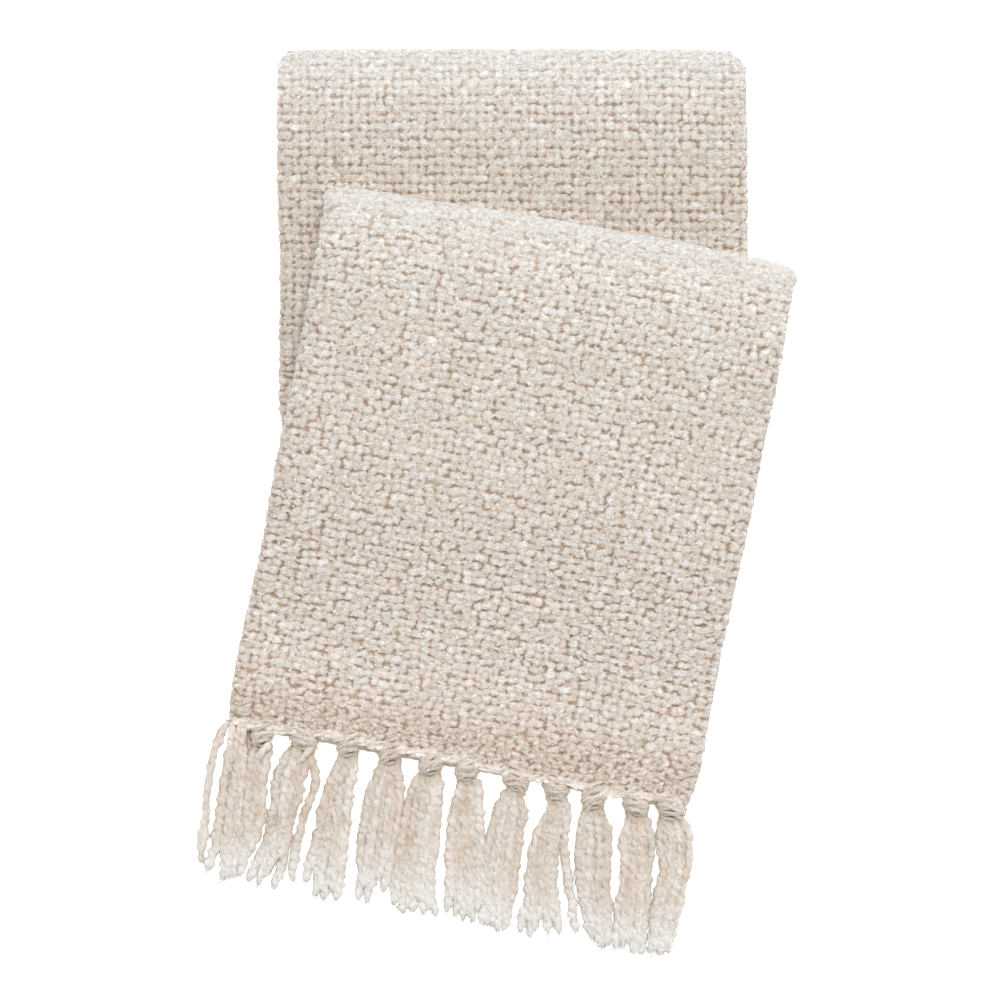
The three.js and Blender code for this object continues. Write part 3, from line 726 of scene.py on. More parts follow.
pieces = []
FRONT_ROWS = [-0.6, 4.3, 9.2, 14.1]     # the rows are beaten closer together near the hem
while FRONT_ROWS[-1] < 640:
    tight = 1 - 0.30 * float(smooth(Q_FRONT - 34, Q_FRONT + 2, FRONT_ROWS[-1]) * (1 - smooth(Q_FOLD1, Q_FOLD1 + 30, FRONT_ROWS[-1])))
    FRONT_ROWS.append(FRONT_ROWS[-1] + (4.9 + (ROW_FRONT - 4.9) * float(smooth(20, 64, FRONT_ROWS[-1]))) * tight)
FRONT_ROWS = np.array(FRONT_ROWS)
q_mid = 254.0
S0, S1 = S_LEFT0 - 1.5, S_RIGHT1 + 3.0
pieces.append(panel("face_front_low", S0, S1, 2.4, q_mid, 1.25, 1.06, FRONT_ROWS, 0, 1.0))
pieces.append(panel("face_front_high", S0, S1, q_mid, Q_FOLD1 - 1, 1.25, 1.06, FRONT_ROWS, 0, 1.0))
BACK_ROWS = [Q_FOLD2 - 2 * ROW_BACK + 2.0]
while BACK_ROWS[-1] < Q_FOLD3 + 60:
    BACK_ROWS.append(BACK_ROWS[-1] + ROW_BACK * (1 - 0.30 * float(smooth(Q_BACK - 30, Q_BACK + 4, BACK_ROWS[-1]))))
BACK_ROWS = np.array(BACK_ROWS)


def back_hide(s, q):
    inner = (s > S_LEFT1 + 14) & (s < S_RIGHT0 - 14)
    under = covered_back(s, q)
    return under & (inner | (q < Q_FOLD2 + 5)) | (q < Q_FOLD2 + 4)


pieces.append(panel("face_back", S0, S1, Q_FOLD2 + 60, Q_FOLD3 - 1, 1.24, 1.08, BACK_ROWS, 200, 0.62, hide=back_hide, light=0.945, gap=0.95))
for k, (s0, s1) in enumerate(((S0, S_LEFT1 + 8), (S_RIGHT0 - 8, S1))):
    pieces.append(panel(f"side_second_{k}", s0, s1, Q_FOLD1 - 2, Q_FOLD2 + 62, 1.5, 1.5, np.arange(70, 190) * ROW_FRONT, 400, 0.9, seed=3 + k))
    pieces.append(panel(f"side_low_{k}", s0, s1, Q_FOLD3 - 2, Q_END, 1.5, 1.5, np.arange(120, 240) * ROW_FRONT, 600, 0.9, seed=5 + k))

bag = Bag()
face_hairs(bag, 2600, S_LEFT0 + 2, S_RIGHT1 - 3, 6, Q_FOLD1 - 8, 81)
face_hairs(bag, 2200, S_LEFT0 + 2, S_RIGHT1 - 3, Q_FOLD2 + 60, Q_FOLD3 - 8, 82, keep=lambda s, q: ~covered_back(s, q))
for k, (s0, s1) in enumerate(((S_LEFT0 + 0.5, S_LEFT1), (S_RIGHT0, S_RIGHT1 - 1))):
    face_hairs(bag, 500, s0, s1, 2, Q_FOLD1 - 4, 83 + k, flat=0.4)
    face_hairs(bag, 400, s0, s1, Q_FOLD2 + 60, Q_FOLD3 - 4, 85 + k, flat=0.4)
loose_fibres = bag.make("loose_fibres", FACE_MAT)
print("loose_fibres", bag.triangles())
pieces.append(loose_fibres)

# ------------------------------------------------------------------ the cloth
s_stops = np.concatenate([
    np.linspace(0, S_LEFT0, 20)[:-1], np.linspace(S_LEFT0, S_LEFT1, 10),
    np.linspace(S_LEFT1, S_RIGHT0, 22)[1:], np.linspace(S_RIGHT0, S_RIGHT1, 12)[1:],
    np.linspace(S_RIGHT1, S_END, 20)[1:]])
q_stops = []
for q0, q1, step in ((3.8, Q_FRONT, 13), (Q_FRONT, Q_FOLD1, 3.6), (Q_FOLD1, Q_SECOND, 14), (Q_SECOND, Q_FOLD2, 0.8),
                     (Q_FOLD2, Q_BACK, 14), (Q_BACK, Q_FOLD3, 3.6), (Q_FOLD3, Q_END, 14)):
    q_stops.append(np.linspace(q0, q1, max(2, int(round((q1 - q0) / step))) + 1)[:-1])
q_stops = np.concatenate(q_stops + [[Q_END]])
NS, NQ = len(s_stops), len(q_stops)
gs, gq = np.meshgrid(s_stops, q_stops)
nub_zone = (gs > S_LEFT0 - 2) & (gs < S_RIGHT1 + 2)
outer_h = np.where(nub_zone, LAYER / 2 - 0.95, LAYER / 2)
outer = place(gs, gq, outer_h)
inner = place(gs, gq, -LAYER / 2)
verts = np.concatenate([outer.reshape(-1, 3), inner.reshape(-1, 3)])
idx = np.arange(NS * NQ).reshape(NQ, NS)
a, b, c, d = idx[:-1, :-1], idx[:-1, 1:], idx[1:, 1:], idx[1:, :-1]
quads = np.stack([a, b, c, d], -1).reshape(-1, 4)
N = NS * NQ
inner_quads = quads[:, ::-1] + N


def rim(line, flip):
    r = np.stack([line[:-1], line[1:], line[1:] + N, line[:-1] + N], -1)
    return r[:, ::-1] if flip else r


faces = np.concatenate([quads, inner_quads, rim(idx[0], True), rim(idx[-1], False), rim(idx[:, 0], False), rim(idx[:, -1], True)])
# the ground showing between the nubs is tinted as painted crevice shade
tone = np.where(nub_zone.ravel()[:, None], CREVICE_SHADE * 0.85, TOP[1] * 0.93)
tone = np.concatenate([tone, np.repeat((TOP[1] * 0.93)[None], N, 0)])
uv = np.stack([gs.ravel(), gq.ravel()], -1)
cloth = mesh_object("cloth", verts, [faces], tone, np.concatenate([uv, uv + 500]), CORE_MAT)
print("cloth", len(faces) * 2, "triangles")
pieces.append(cloth)


# ------------------------------------------------------------------ yarns and strands
def frames_along(path):
    t = np.gradient(path, axis=0)
    t /= np.linalg.norm(t, axis=1, keepdims=True)
    n = np.zeros_like(path)
    ref = UP if abs(t[0] @ UP) < 0.9 else np.array([0.0, 1.0, 0.0])
    v = ref - (ref @ t[0]) * t[0]
    n[0] = v / np.linalg.norm(v)
    for k in range(1, len(path)):
        v = n[k - 1] - (n[k - 1] @ t[k]) * t[k]
        n[k] = v / np.linalg.norm(v)
    return t, n, np.cross(t, n)


def spline(points, step):
    p = np.array(points, float)
    d = np.linalg.norm(np.diff(p, axis=0), axis=1)
    x = np.concatenate([[0], np.cumsum(d)])
    m = np.gradient(p, x, axis=0)
    n = max(3, int(round(x[-1] / step)) + 1)
    out = []
    for xx in np.linspace(0, x[-1], n):
        k = min(np.searchsorted(x, xx, side="right") - 1, len(p) - 2)
        h = x[k + 1] - x[k]
        t = (xx - x[k]) / h
        out.append((2 * t**3 - 3 * t**2 + 1) * p[k] + (t**3 - 2 * t**2 + t) * h * m[k]
                   + (-2 * t**3 + 3 * t**2) * p[k + 1] + (t**3 - t**2) * h * m[k + 1])
    return np.array(out)


def rope(bag, path, radius, pitch=22.0, plies=2, sides=7, phase=0.0, seed=0, flat=1.0, light=1.0, end_taper=True, pale_end=0.0, rough=0.5, bulge=0.0, full=0.74, low_and_patch_shade=0.0, root=0.0, hue=None, underside_light=0.0, tip=3.0, tip_low=0.30):
    """A twisted yarn along path; radius is its outer half width, a number or one per point.
    full is a ply's share of it, low_and_patch_shade how much painted warm shade lies on its lower side and in random
    patches, root how much painted shadow lies at its start, under the knot, and underside_light how much painted light
    lifts its side facing -y."""
    n = len(path)
    t, nn, bb = frames_along(path)
    length = np.concatenate([[0], np.cumsum(np.linalg.norm(np.diff(path, axis=0), axis=1))])
    rad = np.broadcast_to(radius, (n,)) * (1 + 0.16 * noise(length / 8.0, seed * 3.7, 20) + 0.07 * noise(length / 3.0, seed * 1.7, 21))
    if end_taper:
        rad = rad * np.clip((length[-1] - length) / tip + tip_low, 0, 1)
    ply_r, off = rad * full, rad * (1.04 - full)
    ang = 2 * math.pi * length / pitch + phase + 0.9 * noise(length / 13.0, seed * 2.9, 22)
    share = length / length[-1]
    base = TOP[seed % 5 if hue is None else hue] * np.array([1.03, 0.974, 0.922]) * light * (0.94 + 0.07 * pick(seed, 3, 23))
    for k in range(plies):
        th = ang + 2 * math.pi * k / plies
        centre = path + (nn * np.sin(th)[:, None] + bb * np.cos(th)[:, None]) * off[:, None]
        rr = ply_r * (1 + 0.14 * noise(length / 5.0, seed * 1.3 + k * 7, 24) + bulge * np.cos(2 * math.pi * length / (pitch * 0.52) + seed * 2.7 + k * 2.4 + noise(length / 17.0, seed * 0.9 + k, 29)))
        cosines = 2 * math.pi * np.arange(sides) / sides + k
        ring = centre[:, None, :] + (nn[:, None, :] * np.sin(cosines)[None, :, None] + bb[:, None, :] * np.cos(cosines)[None, :, None]) * rr[:, None, None]
        grain = noise(length[:, None] / 2.6 + seed * 5.3, cosines[None, :] * 1.1 + k * 9.1, 28)
        ring = centre[:, None, :] + (ring - centre[:, None, :]) * (1 + rough / rad[:, None] * grain)[..., None]
        axis_off = ring - path[:, None, :]
        if flat != 1.0:
            axis_off[..., 2] *= flat
            ring = path[:, None, :] + axis_off
        dist = np.linalg.norm(axis_off / np.array([1, 1, flat]), axis=-1) / rad[:, None]
        # painted shade in the grooves between the plies, warm near the yarn's axis
        lobe = smooth(0.45, 0.95, dist)[..., None] if low_and_patch_shade == 0 else smooth(0.25, 0.85, dist)[..., None]
        tone = (base * 0.3 + GROOVE_SHADE * np.array([0.98, 0.95, 0.90]) * 0.7) * (1 - lobe) + base * lobe
        if low_and_patch_shade > 0:
            # painted warm shade on the yarn's lower side, and darker patches at random
            patch = noise(ring[..., 0] / 6.2, ring[..., 1] / 10.5, 60) + 0.5 * noise(ring[..., 0] / 3.1, ring[..., 1] / 4.6, 61)
            low = smooth(0.30, -0.55, axis_off[..., 2] / rad[:, None])
            k_shade = np.clip(0.55 * smooth(0.1, 1.0, patch) + 0.62 * low, 0, 0.9)[..., None] * low_and_patch_shade
            tone = tone * (1 - k_shade) + srgb(206, 187, 165) * k_shade
        # painted shadow under the knot, at the strand's start
        if root > 0:
            k_root = (root * (1 - smooth(0.05, 0.14, share)))[:, None, None]
            tone = tone * (1 - k_root) + srgb(186, 162, 138) * k_root
        pale = (smooth(0.6, 1.0, share) * pale_end)[:, None, None]
        tone = tone * (1 - pale) + srgb(237, 238, 237) * pale
        # painted light on the yarn's side that faces -y
        if underside_light > 0:
            tone = tone * (1 + underside_light * smooth(0.1, -0.8, axis_off[..., 1] / rad[:, None]))[..., None]
        tone = tone * (1 + 0.05 * grain[..., None])
        v = ring.reshape(-1, 3)
        i = np.arange((n - 1) * sides).reshape(n - 1, sides)
        j = np.roll(i, -1, axis=1)
        quads = np.stack([i, j, j + sides, i + sides], -1).reshape(-1, 4)
        caps = np.array([(0, a + 1, a) for a in range(1, sides - 1)] + [(0 + (n - 1) * sides, a + (n - 1) * sides, a + 1 + (n - 1) * sides) for a in range(1, sides - 1)])
        uv = np.stack([np.repeat(length, sides) + seed * 31.7, np.tile(np.arange(sides) * 12.0 / sides, n) + k * 17], -1)
        bag.add(v, [quads[:, ::-1], caps[:, ::-1]], tone.reshape(-1, 3), uv)


# hem yarns: the thick pale weft at the edge of each layer of the hem
bag = Bag()
HEM_Q = 7.4
s_line = np.arange(S_LEFT1 - 2, S_RIGHT0 + 2, 1.9)
at_px = (place(s_line, HEM_Q, 0.0)[:, 0] + 0.0) / 0.913 + 500     # the edge's own slow wave, as pictured
wave = np.interp(at_px, [225, 281, 326, 368, 409, 449, 490, 533, 573, 613, 652, 690], [0, -1.8, 2.4, 1.5, 1.8, 1.6, -2.0, -1.8, -2.0, -2.6, 1.3, 0])
path = place(s_line, HEM_Q + wave + 0.9 * noise(s_line / 16.0, s_line * 0 + 3.3, 30), LAYER / 2 - 1.0 + 0.5 * noise(s_line / 13.0, s_line * 0 + 1.1, 31))
# the hem yarn's side facing -y is lifted with painted light
rope(bag, path, 4.1, pitch=29, plies=3, seed=4, sides=7, light=0.97, end_taper=False, rough=1.5, bulge=0.3, full=0.66, low_and_patch_shade=0.45, underside_light=0.46)
for s0, s1, seed in ((4, S_LEFT0 - 1, 2), (S_RIGHT1 + 1, S_END - 4, 3)):
    s_line = np.arange(s0, s1, 3.5)
    path = place(s_line, 2.4 + 0.8 * noise(s_line / 30.0, s_line * 0 + seed, 32), 0.0)
    rope(bag, path, 2.5, pitch=22, sides=6, seed=seed, light=0.97, end_taper=False)
q_line = np.concatenate([np.arange(4, Q_SECOND, 3.2), np.arange(Q_FOLD2, Q_END - 1, 3.2)])
for seed, (s_at, d) in enumerate(((S_END, 0.4),)):
    path = place(np.full_like(q_line, s_at + d), q_line, 0.3 * noise(q_line / 23.0, q_line * 0 + 2.2, 33))
    rope(bag, path, 2.5, pitch=14, sides=6, seed=11 + seed, light=0.98, end_taper=False)
hem = bag.make("hem_yarns", NUB_MAT)
print("hem", bag.triangles())
pieces.append(hem)

# ------------------------------------------------------------------ the front fringe
# Each tassel in pixels of the photograph: rows of (y, left x, right x) from its knot to
# its end, the number of strands, and gaps (after strand, from y, to y, width).
S_PX = (2038.0 - 6.0) / 2218.0


def px(x, y, z=6.0):
    s = (2038.0 - z) / 2218.0
    return np.array([(x - 500.0) * s, (500.0 - y) * s, z])


TASSELS = [
    dict(knot=(239, 731, 19), rows=[(740, 231, 247), (760, 224, 249), (786, 219, 247), (808, 217, 245), (822, 215, 242), (845, 212, 236), (862, 210.5, 233), (872, 208.5, 230)], n=3, gaps=[(0, 851, 900, 8.5, 0)], ends=(871, 878, 878), plain=True),
    dict(knot=(262, 737, 24), rows=[(746, 250, 273), (760, 247, 270), (774, 245, 268), (795, 243, 268), (813, 242, 267), (841, 234, 258.5), (858, 227, 250.5), (876, 220, 244)], n=3, ends=(880, 878, 876), slant=True),
    dict(knot=(304, 741, 28), rows=[(754, 283, 315), (774, 276, 319), (790, 276, 318), (802, 275, 313), (819, 271, 307), (835, 265, 303), (852, 256, 298.5), (880, 242.5, 297)], n=5, gaps=[(3, 768, 832, 7, 1.8)], ends=(881, 885, 864, 889, 881), aside={3: -7.0, 2: -1.0, 1: 2.5, 0.5: -3.0}, slant=True),
    dict(knot=(349, 747, 24), rows=[(757, 339, 359), (773, 330, 358), (788, 325, 356), (805, 319, 353), (829, 312.5, 350.5), (850, 307.5, 347.5), (870, 302.5, 345), (892, 300, 342)], n=4, ends=(882, 896, 900, 900)),
    dict(knot=(391, 755, 25), rows=[(762, 380, 401), (776, 372, 402.5), (788, 366, 404), (800, 361, 406), (815, 359.5, 404), (834, 358.5, 401), (858, 357.5, 395), (886, 355.5, 388)], n=4, ends=(900, 903, 880, 891)),
    dict(knot=(431, 766, 26), rows=[(772, 420, 441), (782, 411, 444), (795, 406, 444.5), (808, 402, 442), (832, 398, 440), (855, 393, 438.5), (877, 389.5, 435.5), (905, 388, 438)], n=5, ends=(905, 913, 912, 914, 916)),
    dict(knot=(467, 772, 24), rows=[(778, 457, 480), (790, 455.5, 483), (803, 451, 483), (818, 447, 482.5), (832, 446, 483.5), (849, 445, 487), (880, 444, 488), (910, 442, 487)], n=5, ends=(912, 916, 920, 922, 924)),
    dict(knot=(516, 782, 26), rows=[(790, 505.5, 522), (800, 497.5, 525), (815, 492, 527), (832, 487.5, 524.5), (849, 484.5, 524.5), (870, 483, 520.5), (895, 482, 516.5), (925, 482, 509.5)], n=4, ends=(925, 927, 931, 930)),
    dict(knot=(556, 790, 25), rows=[(798, 548, 567), (812, 545.5, 572.5), (825, 537, 570.5), (838, 532.5, 569.5), (853, 527.5, 568.5), (873, 525.5, 570.5), (895, 524, 573.5), (922, 520, 578)], n=5, gaps=[(3, 854, 944, 5.0, 0)], ends=(932, 937, 933, 934, 932), aside={0: -1.5, 1: -4.5, 1.5: -8.5, 2: 1.0}),
    dict(knot=(594, 800, 25), rows=[(808, 584, 604), (816, 578.5, 606), (830, 575.5, 612), (849, 573, 613), (866, 574, 611.5), (885, 575, 609), (905, 578, 611), (935, 586, 613)], n=4, ends=(939, 947, 948, 945)),
    dict(knot=(636, 807, 26), rows=[(813, 627, 648), (823, 624, 651), (838, 620, 656), (855, 621, 655.5), (871, 620, 652.5), (888, 618.5, 651), (908, 613.5, 650), (940, 611, 647.5)], n=4, ends=(948, 948, 953, 954)),
    dict(knot=(671, 810, 30), rows=[(817, 660, 685), (824, 657, 689), (834, 656, 693), (848, 657, 695), (868, 657.5, 692), (887, 654.5, 687), (909, 650.5, 682), (945, 645, 673)], n=4, ends=(953, 951, 955, 952)),
]

KNOT_HIGH, END_HIGH = 14.0, 5.5


def tassel_height(y, yk, ye):
    t = np.clip((y - yk) / (ye - yk), 0, 1)
    return np.interp(t, [0, 0.10, 0.34, 0.68, 1.0], [14.0, 12.6, 9.8, 8.0, 5.6])


def across_at(rows, y):
    rows = np.array(rows, float)
    return np.interp(y, rows[:, 0], rows[:, 1]), np.interp(y, rows[:, 0], rows[:, 2])


strands, knots = Bag(), Bag()
hem_l = np.array([-247.2, -207.8]); hem_r = np.array([169.8, -285.7])


def hem_y(x_px, z=9.0):
    """Pixel row of the hem's edge at a pixel column."""
    return np.interp(x_px, [245, 273, 323, 362, 404, 441, 479, 527, 565, 602, 645, 682],
                     [727, 734, 740, 750, 756, 765, 771, 781, 789, 797, 803, 812])


def strand_path(tas, i, n, layer, seed, drop_y=0.0):  # i counts strands; the lower layer's lie half way between
    """Points of a strand in px and height, from the knot to its end."""
    kx, ky, kw = tas["knot"]
    rows_ = tas["rows"]
    ye = rows_[-1][0]
    end = tas["ends"][min(int(i), len(tas["ends"]) - 1)] - drop_y
    ys = np.concatenate([[ky - 1, ky + 6], np.linspace(ky + 14, end, 15)])
    pts = []
    for m, y in enumerate(ys):
        if m < 2:
            pts.append((kx + (i / (n - 1) - 0.5) * (kw - 15), y, 8.6 if layer == 0 else 5.4))
            continue
        xl, xr = across_at(rows_, min(y, ye))
        if y > ye:  # carry on in the direction of the last two rows
            (y0, a0, b0), (y1, a1, b1) = rows_[-2], rows_[-1]
            xl = a1 + (a1 - a0) / (y1 - y0) * (y - y1)
            xr = b1 + (b1 - b0) / (y1 - y0) * (y - y1)
        half = 4.6
        x = xl + half + (xr - xl - 2 * half) * i / (n - 1)
        for after, ya, yb, wide, lean in tas.get("gaps", []):
            g = smooth(ya - 6, ya + 14, y) * (1 - smooth(yb - 12, yb + 14, y) if yb < ye else 1)
            x += g * ((wide * 0.5 - 0.6 * lean) if i > after else -(wide * 0.5 + lean) * (0.5 + 0.5 * (i + 1) / (after + 1)))
        x += tas.get("aside", {}).get(i, 0.0) * smooth(end - 34, end, y)
        t = (y - ky) / (end - ky)
        if m > 1:
            x += (1.9 * noise(t * 3.9 + seed * 0.7, seed * 2.1, 40) + 1.0 * noise(t * 9.3 + seed * 0.9, seed * 1.7, 43)) * smooth(0.05, 0.3, t)
        high = tassel_height(y, ky, ye)
        if layer == 0:
            z = high - 3.9 + 0.8 * noise(t * 4 + seed, seed * 1.3, 41)
        else:
            z = max(high - 5.4, 3.4) + 0.3 * noise(t * 4 + seed, seed * 1.9, 42)
        pts.append((x, y, max(z, 3.0)))
    return [np.append(px(x, y, z)[:2], z) for x, y, z in pts]


def strand_hairs(bag, path, rad, per_mm, at_end, seed):
    """Fuzz round a strand and its frayed end."""
    rnd = np.random.RandomState(seed)
    t, nn, bb = frames_along(path)
    n = int(per_mm * np.linalg.norm(np.diff(path, axis=0), axis=1).sum())
    if n:
        i = rnd.randint(3, len(path) - 1, n)
        a = math.radians(-40) + math.radians(260) * rnd.rand(n)[:, None]
        side = np.cross(t[i], UP)
        out = side / np.linalg.norm(side, axis=1, keepdims=True) * np.cos(a) + UP * np.sin(a) * 0.8
        way = out * (0.35 + 0.5 * rnd.rand(n)[:, None]) + t[i] * (0.9 - 0.9 * (rnd.rand(n)[:, None] < 0.3))
        tone = np.minimum(TOP[rnd.randint(0, 5, n)] * 1.04, 0.95)
        hairs(bag, path[i] + out * rad * 0.72, way, 2.5 + 4.0 * rnd.rand(n), 0.16 + 0.12 * rnd.rand(n), tone, rnd)
    m = at_end
    i = len(path) - 1 - rnd.randint(0, 4, m)
    spread = rnd.rand(m, 3) - 0.5
    spread[:, 2] *= 0.5
    way = t[i] + spread * 0.9
    root = path[i] + (rnd.rand(m, 3) - 0.5) * np.array([1.3, 1.3, 0.8]) * rad
    tone = np.repeat(srgb(237, 234, 229)[None], m, 0)
    hairs(bag, root, way, 2.0 + 4.0 * rnd.rand(m), 0.22 + 0.2 * rnd.rand(m), tone, rnd)


fluff = Bag()
seed = 100
for ti, tas in enumerate(TASSELS):
    n = tas["n"]
    for layer in (1, 0):
        lanes = range(n) if layer == 0 else [i + 0.5 for i in range(n - 1) if i not in [g[0] for g in tas.get("gaps", [])]]
        for i in lanes:
            seed += 1
            pts = strand_path(tas, i, n, layer, seed, drop_y=0 if layer == 0 else 3 + 9 * pick(seed, 1, 50))
            path = spline(pts, 1.7 if layer == 0 else 3.0)
            rad = (4.6 if layer == 0 else 5.1) * (0.90 + 0.18 * pick(seed, 2, 51))
            # the lower layer is darker, as painted shade, and each strand's start under the knot gets painted shadow
            rope(strands, path, rad, pitch=20 + 9 * pick(seed, 4, 52), seed=seed, phase=6.28 * pick(seed, 5, 53), flat=0.76 if layer == 0 else 0.85,
                 sides=8 if layer == 0 else 6, pale_end=0.8, light=0.93 if layer == 0 else 0.89, rough=1.0, bulge=0.2, full=0.82, low_and_patch_shade=1.0, root=0.6, tip=9.0, tip_low=0.34)
            strand_hairs(fluff, path, rad, 0.75 if layer == 0 else 0.0, 16 if layer == 0 else 10, seed)

# the loose strand beside the corner
loose = [(229, 721, 10), (220.5, 734, 8), (215.3, 748, 6), (211.6, 764, 5), (208.6, 783, 4), (206.4, 801, 4), (205.6, 820, 4.2), (202.9, 838, 4.6), (201.6, 852, 4.0), (201.4, 863, 3.0)]
loose = spline([np.append(px(x, y, z)[:2], z) for x, y, z in loose], 2.0)
loose_wide = np.interp(np.linspace(0, 1, len(loose)), [0, 0.15, 0.4, 0.66, 0.74, 0.85, 0.93, 1], [3.6, 4.3, 3.8, 3.9, 4.6, 5.2, 3.6, 1.8])
rope(strands, loose, loose_wide, pitch=24, seed=77, flat=0.7, pale_end=0.25, rough=0.9, bulge=0.14, light=0.93, full=0.8, low_and_patch_shade=0.8, hue=4)
strand_hairs(fluff, loose, 3.6, 0.8, 14, 778)
# and one behind the first two tassels
behind = [(249, 726, 6), (250, 738, 5.5), (250, 752, 5), (248.5, 772, 4.5), (246, 800, 4)]
rope(strands, spline([np.append(px(x, y, z)[:2], z) for x, y, z in behind], 2.5), 3.6, pitch=22, seed=79, sides=6, flat=0.85, light=0.95, full=0.82, low_and_patch_shade=1.0, root=0.5)
print("strands", strands.triangles())

# knots: turns of fine yarn crossing one another over a filled middle
for ti, tas in enumerate(TASSELS):
    kx, ky, kw = tas["knot"]
    seed = 400 + 20 * ti
    flip = 1 if pick(seed, 1, 61) < 0.7 else -1
    lean = 0.36 + 0.3 * (pick(seed, 2, 62) - 0.5)
    w = kw / 2 - 1.6

    def turn(dy, wide, high, tilt, sag, r, step, **how):
        pts = []
        for k in range(9):
            f = k / 4 - 1.0
            u = f * w * wide - 0.28 * dy * (lean - 0.1)
            y = dy + sag * (1 - f * f) - tilt * u + 2.4 * max(0.0, abs(f) - 0.6)
            z = 7.0 + (high - 7.0) * math.sqrt(max(0.0, 1 - (0.98 * f) ** 2))
            pts.append((kx + flip * u, ky + y, z))
        rope(knots, spline([np.append(px(x, y, z)[:2], z) for x, y, z in pts], step), r, end_taper=False, **how)

    if tas.get("plain"):  # no wrapping: the strands come straight from under the hem
        for i, dx in enumerate((-5.5, 0.5, 6.0)):
            pts = [(kx + dx, ky - 10, 7.0), (kx + dx - 0.6, ky - 5, 11.5), (kx + dx - 1.2, ky + 1, 13.0), (kx + dx - 2.2, ky + 8, 11.8), (kx + dx - 3.2, ky + 16, 9.6), (kx + dx - 4.4, ky + 26, 6.6)]
            rope(knots, spline([np.append(px(x, y, z)[:2], z) for x, y, z in pts], 1.7), 3.6, pitch=19, seed=seed + i, sides=8, phase=i * 2.0,
                 rough=0.9, bulge=0.15, full=0.8, low_and_patch_shade=0.8, root=0.7, light=1.02)
        continue
    # the filling turns beneath are darker, as painted shade
    for i, (dy, wide, high, r) in enumerate([(-8.5, 0.84, 14.4, 4.4), (-2.0, 0.90, 14.6, 4.6), (3.2, 0.70, 12.4, 3.8)]):
        turn(dy, wide, high, lean * 0.6, -1.0, r, 2.4, pitch=26, seed=seed + 10 + i, sides=6, rough=0.6, light=0.9, phase=i * 2.2 + ti)
    # the upper turns lighter and the lower ones darker: painted light and shade
    rows_ = [(-12.8, 0.80, 15.8), (-10.8, 0.92, 17.2), (-8.8, 0.99, 18.1), (-6.8, 1.03, 18.6), (-4.8, 1.04, 18.8), (-2.8, 1.02, 18.6), (-0.8, 0.98, 18.1), (1.2, 0.92, 17.2), (3.2, 0.84, 16.1), (5.1, 0.74, 14.7), (6.8, 0.62, 13.2)]
    for i, (dy, wide, high) in enumerate(rows_):
        k = [pick(seed + i, n, 63) for n in range(4)]
        turn(dy + 1.2 * (k[0] - 0.5), wide, high + 0.9 * (k[1] - 0.5), lean * (1.5, 0.3, 0.95)[i % 3] + 0.35 * (k[2] - 0.5), (-2.4, 1.2, -0.6)[i % 3] + 1.2 * (k[3] - 0.5),
             1.5 + 0.5 * k[1], 2.0, pitch=10 + 5 * k[2], seed=seed + i, hue=(1, 4, 0, 2)[(i + ti) % 4], sides=5, phase=i * 1.3 + ti,
             light=(1.0, 1.02, 1.03, 1.04, 1.04, 1.03, 1.01, 0.99, 0.95, 0.90, 0.84)[i], rough=0.45, bulge=0.14, full=0.78)
    if tas.get("slant"):  # a strand that leaves the knot slantwise, over the top of the tassel
        pts = [(kx + w * 0.70, ky + 5.0, 10.5), (kx + w * 0.42, ky + 9.5, 14.0), (kx - w * 0.10, ky + 16.0, 13.4), (kx - w * 0.42, ky + 22, 8.6)]
        rope(knots, spline([np.append(px(x, y, z)[:2], z) for x, y, z in pts], 1.7), 3.2, pitch=20, seed=seed + 7, hue=4, sides=7, phase=ti * 0.7, light=1.03, rough=0.8, bulge=0.12, full=0.8, low_and_patch_shade=0.4)
print("knots", knots.triangles())
front_strands = strands.make("fringe_strands", STRAND_MAT)
front_knots = knots.make("fringe_knots", STRAND_MAT)
front_fluff = fluff.make("fringe_fluff", STRAND_MAT)
print("fluff", fluff.triangles())
for ob in (front_strands, front_knots, front_fluff):
    pieces.append(ob)

# ------------------------------------------------------------------ the far fringe
far = Bag()
hem_line = LINES[-1]
fl, fr, fd = hem_line[0:3], hem_line[3:6], -hem_line[10:13]
seed = 900
for k in range(12):
    root = fl + (fr - fl) * (k + 0.5) / 12
    for layer in range(2):
        m = 3 if layer == 0 else 2
        for i in range(m):
            seed += 1
            f = (i + 0.5) / m - 0.5
            side_dir = (fr - fl) / np.linalg.norm(fr - fl)
            pts = []
            for d, wide, z in ((1, 16, 7.0), (9, 13, 8.5), (16, 13, 7.5), (45, 20, 6.5), (80, 20, 5.5), (104 - 10 * pick(seed, 1, 70), 17, 4.0)):
                zz = (z + 2.2) if layer == 0 else 3.2
                p = root + fd * d + side_dir * (f * wide + 1.2 * noise(d / 30, seed * 2.3, 71))
                pts.append([p[0], p[1], min(zz, 9.2)])
            rope(far, spline(pts, 4.0), 3.5, pitch=24, seed=seed, sides=6, phase=seed * 1.1, flat=0.8, pale_end=0.4, light=0.97)
    for i in range(2):
        c0 = root + fd * (9 + 5 * i)
        pts = []
        for a in np.linspace(0, 2 * math.pi, 15)[:-1]:
            pts.append(c0 * np.array([1, 1, 0]) + side_dir * 8.5 * math.cos(a) + UP * (7.0 + 4.4 * math.sin(a)))
        rope(far, spline(pts, 3.4), 2.2, pitch=15, seed=seed + 50 + i, sides=5, end_taper=False, light=0.96)
for s0, s1, sd in ((4, S_LEFT0 - 1, 5), (S_LEFT1, S_RIGHT0, 6), (S_RIGHT1 + 1, S_END - 4, 7)):
    s_line = np.arange(s0, s1, 5.0)
    base_pts = place(s_line, np.full_like(s_line, Q_END), 0.0)
    rope(far, base_pts + fd * 2.6, 2.3, pitch=22, sides=5, seed=sd, light=0.97, end_taper=False)
far_fringe = far.make("fringe_far_strands", STRAND_MAT)
print("far", far.triangles())
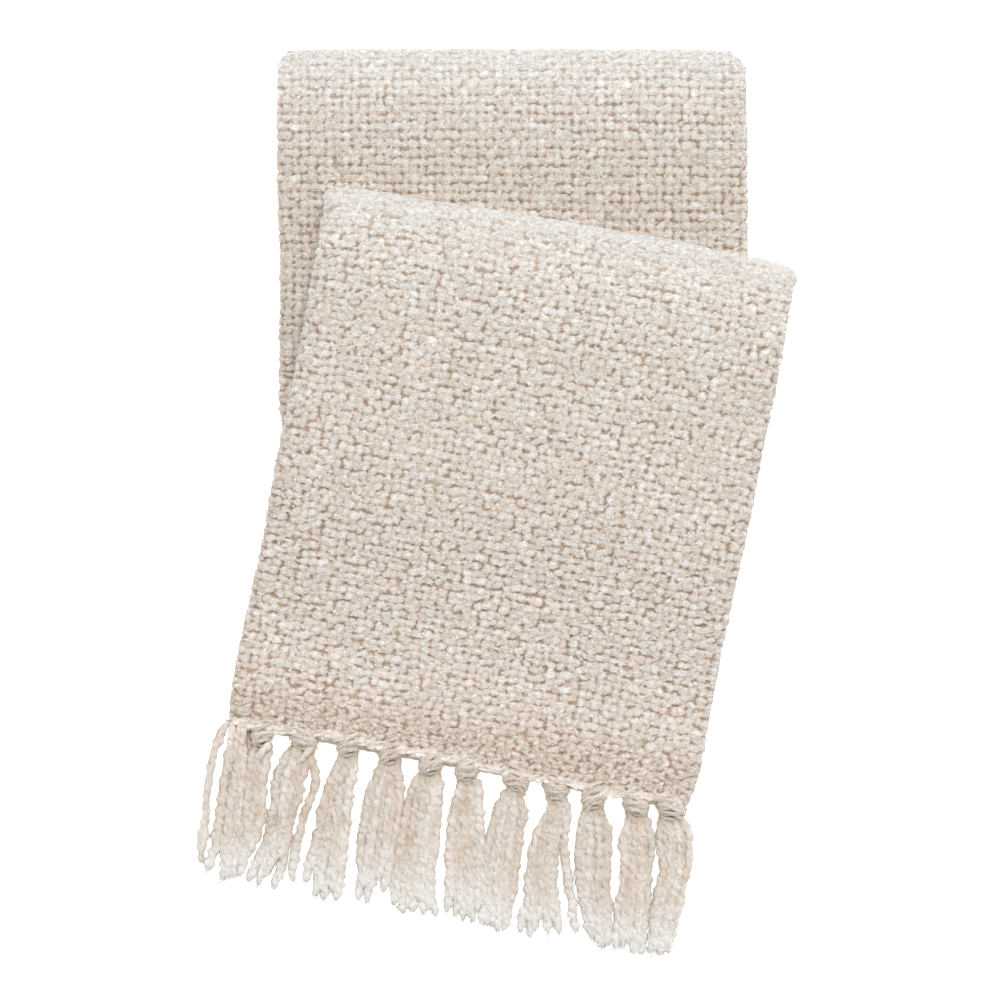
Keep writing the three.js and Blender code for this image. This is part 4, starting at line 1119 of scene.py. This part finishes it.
pieces.append(far_fringe)

# ------------------------------------------------------------------ ties to the model
for ob in pieces:
    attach(ob, "root")
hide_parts("throw_cloth")
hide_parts("fringe_front")
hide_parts("fringe_far")

# ------------------------------------------------------------------ stage, light and camera
floor_mesh = bpy.data.meshes.new("floor")
floor_mesh.from_pydata([(-6, -6, 0), (6, -6, 0), (6, 6, 0), (-6, 6, 0)], [], [(0, 1, 2, 3)])
floor = bpy.data.objects.new("floor", floor_mesh)
bpy.context.scene.collection.objects.link(floor)
fm = bpy.data.materials.new("floor_paper")
fm.use_nodes = True
fb = fm.node_tree.nodes["Principled BSDF"]
fb.inputs["Base Color"].default_value = (0.86, 0.86, 0.855, 1)
fb.inputs["Roughness"].default_value = 1.0
fb.inputs["Specular IOR Level"].default_value = 0.0
fb.inputs["Emission Color"].default_value = (1, 1, 1, 1)
fb.inputs["Emission Strength"].default_value = 0.66
floor_mesh.materials.append(fm)
floor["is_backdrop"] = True

scene = bpy.context.scene
world = bpy.data.worlds.new("studio")
scene.world = world
world.use_nodes = True
world.node_tree.nodes["Background"].inputs["Color"].default_value = (1.0, 0.995, 0.985, 1)
world.node_tree.nodes["Background"].inputs["Strength"].default_value = 0.62


def area(name, loc, target, size, power, colour=(1, 1, 1)):
    data = bpy.data.lights.new(name, "AREA")
    data.shape = "RECTANGLE"
    data.size, data.size_y = size
    data.energy = power
    data.color = colour
    ob = bpy.data.objects.new(name, data)
    ob.location = loc
    d = np.array(target, float) - np.array(loc, float)
    from mathutils import Vector
    ob.rotation_mode = "QUATERNION"
    ob.rotation_quaternion = Vector(d).to_track_quat("-Z", "Y")
    scene.collection.objects.link(ob)
    return ob


area("soft_light", (1.4, 5.6, 8.4), (0, 0, 0), (4.4, 3.2), 600.0)
area("fill_light", (-0.3, -3.2, 3.6), (0, 0, 0), (2.6, 2.0), 24.0)

cam_data = bpy.data.cameras.new("camera")
cam_data.sensor_width = 36.0
cam_data.lens = 2218.0 / 1000.0 * 36.0
cam_data.clip_start, cam_data.clip_end = 0.05, 50
cam = bpy.data.objects.new("camera", cam_data)
cam.location = (0.0082704, 0.0041397, 2.038)
cam.rotation_euler = (0, 0, 0)
scene.collection.objects.link(cam)
scene.camera = cam

scene.view_settings.view_transform = "Standard"
scene.view_settings.look = "None"
scene.view_settings.exposure = 0.0
scene.view_settings.gamma = 1.0

low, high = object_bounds()
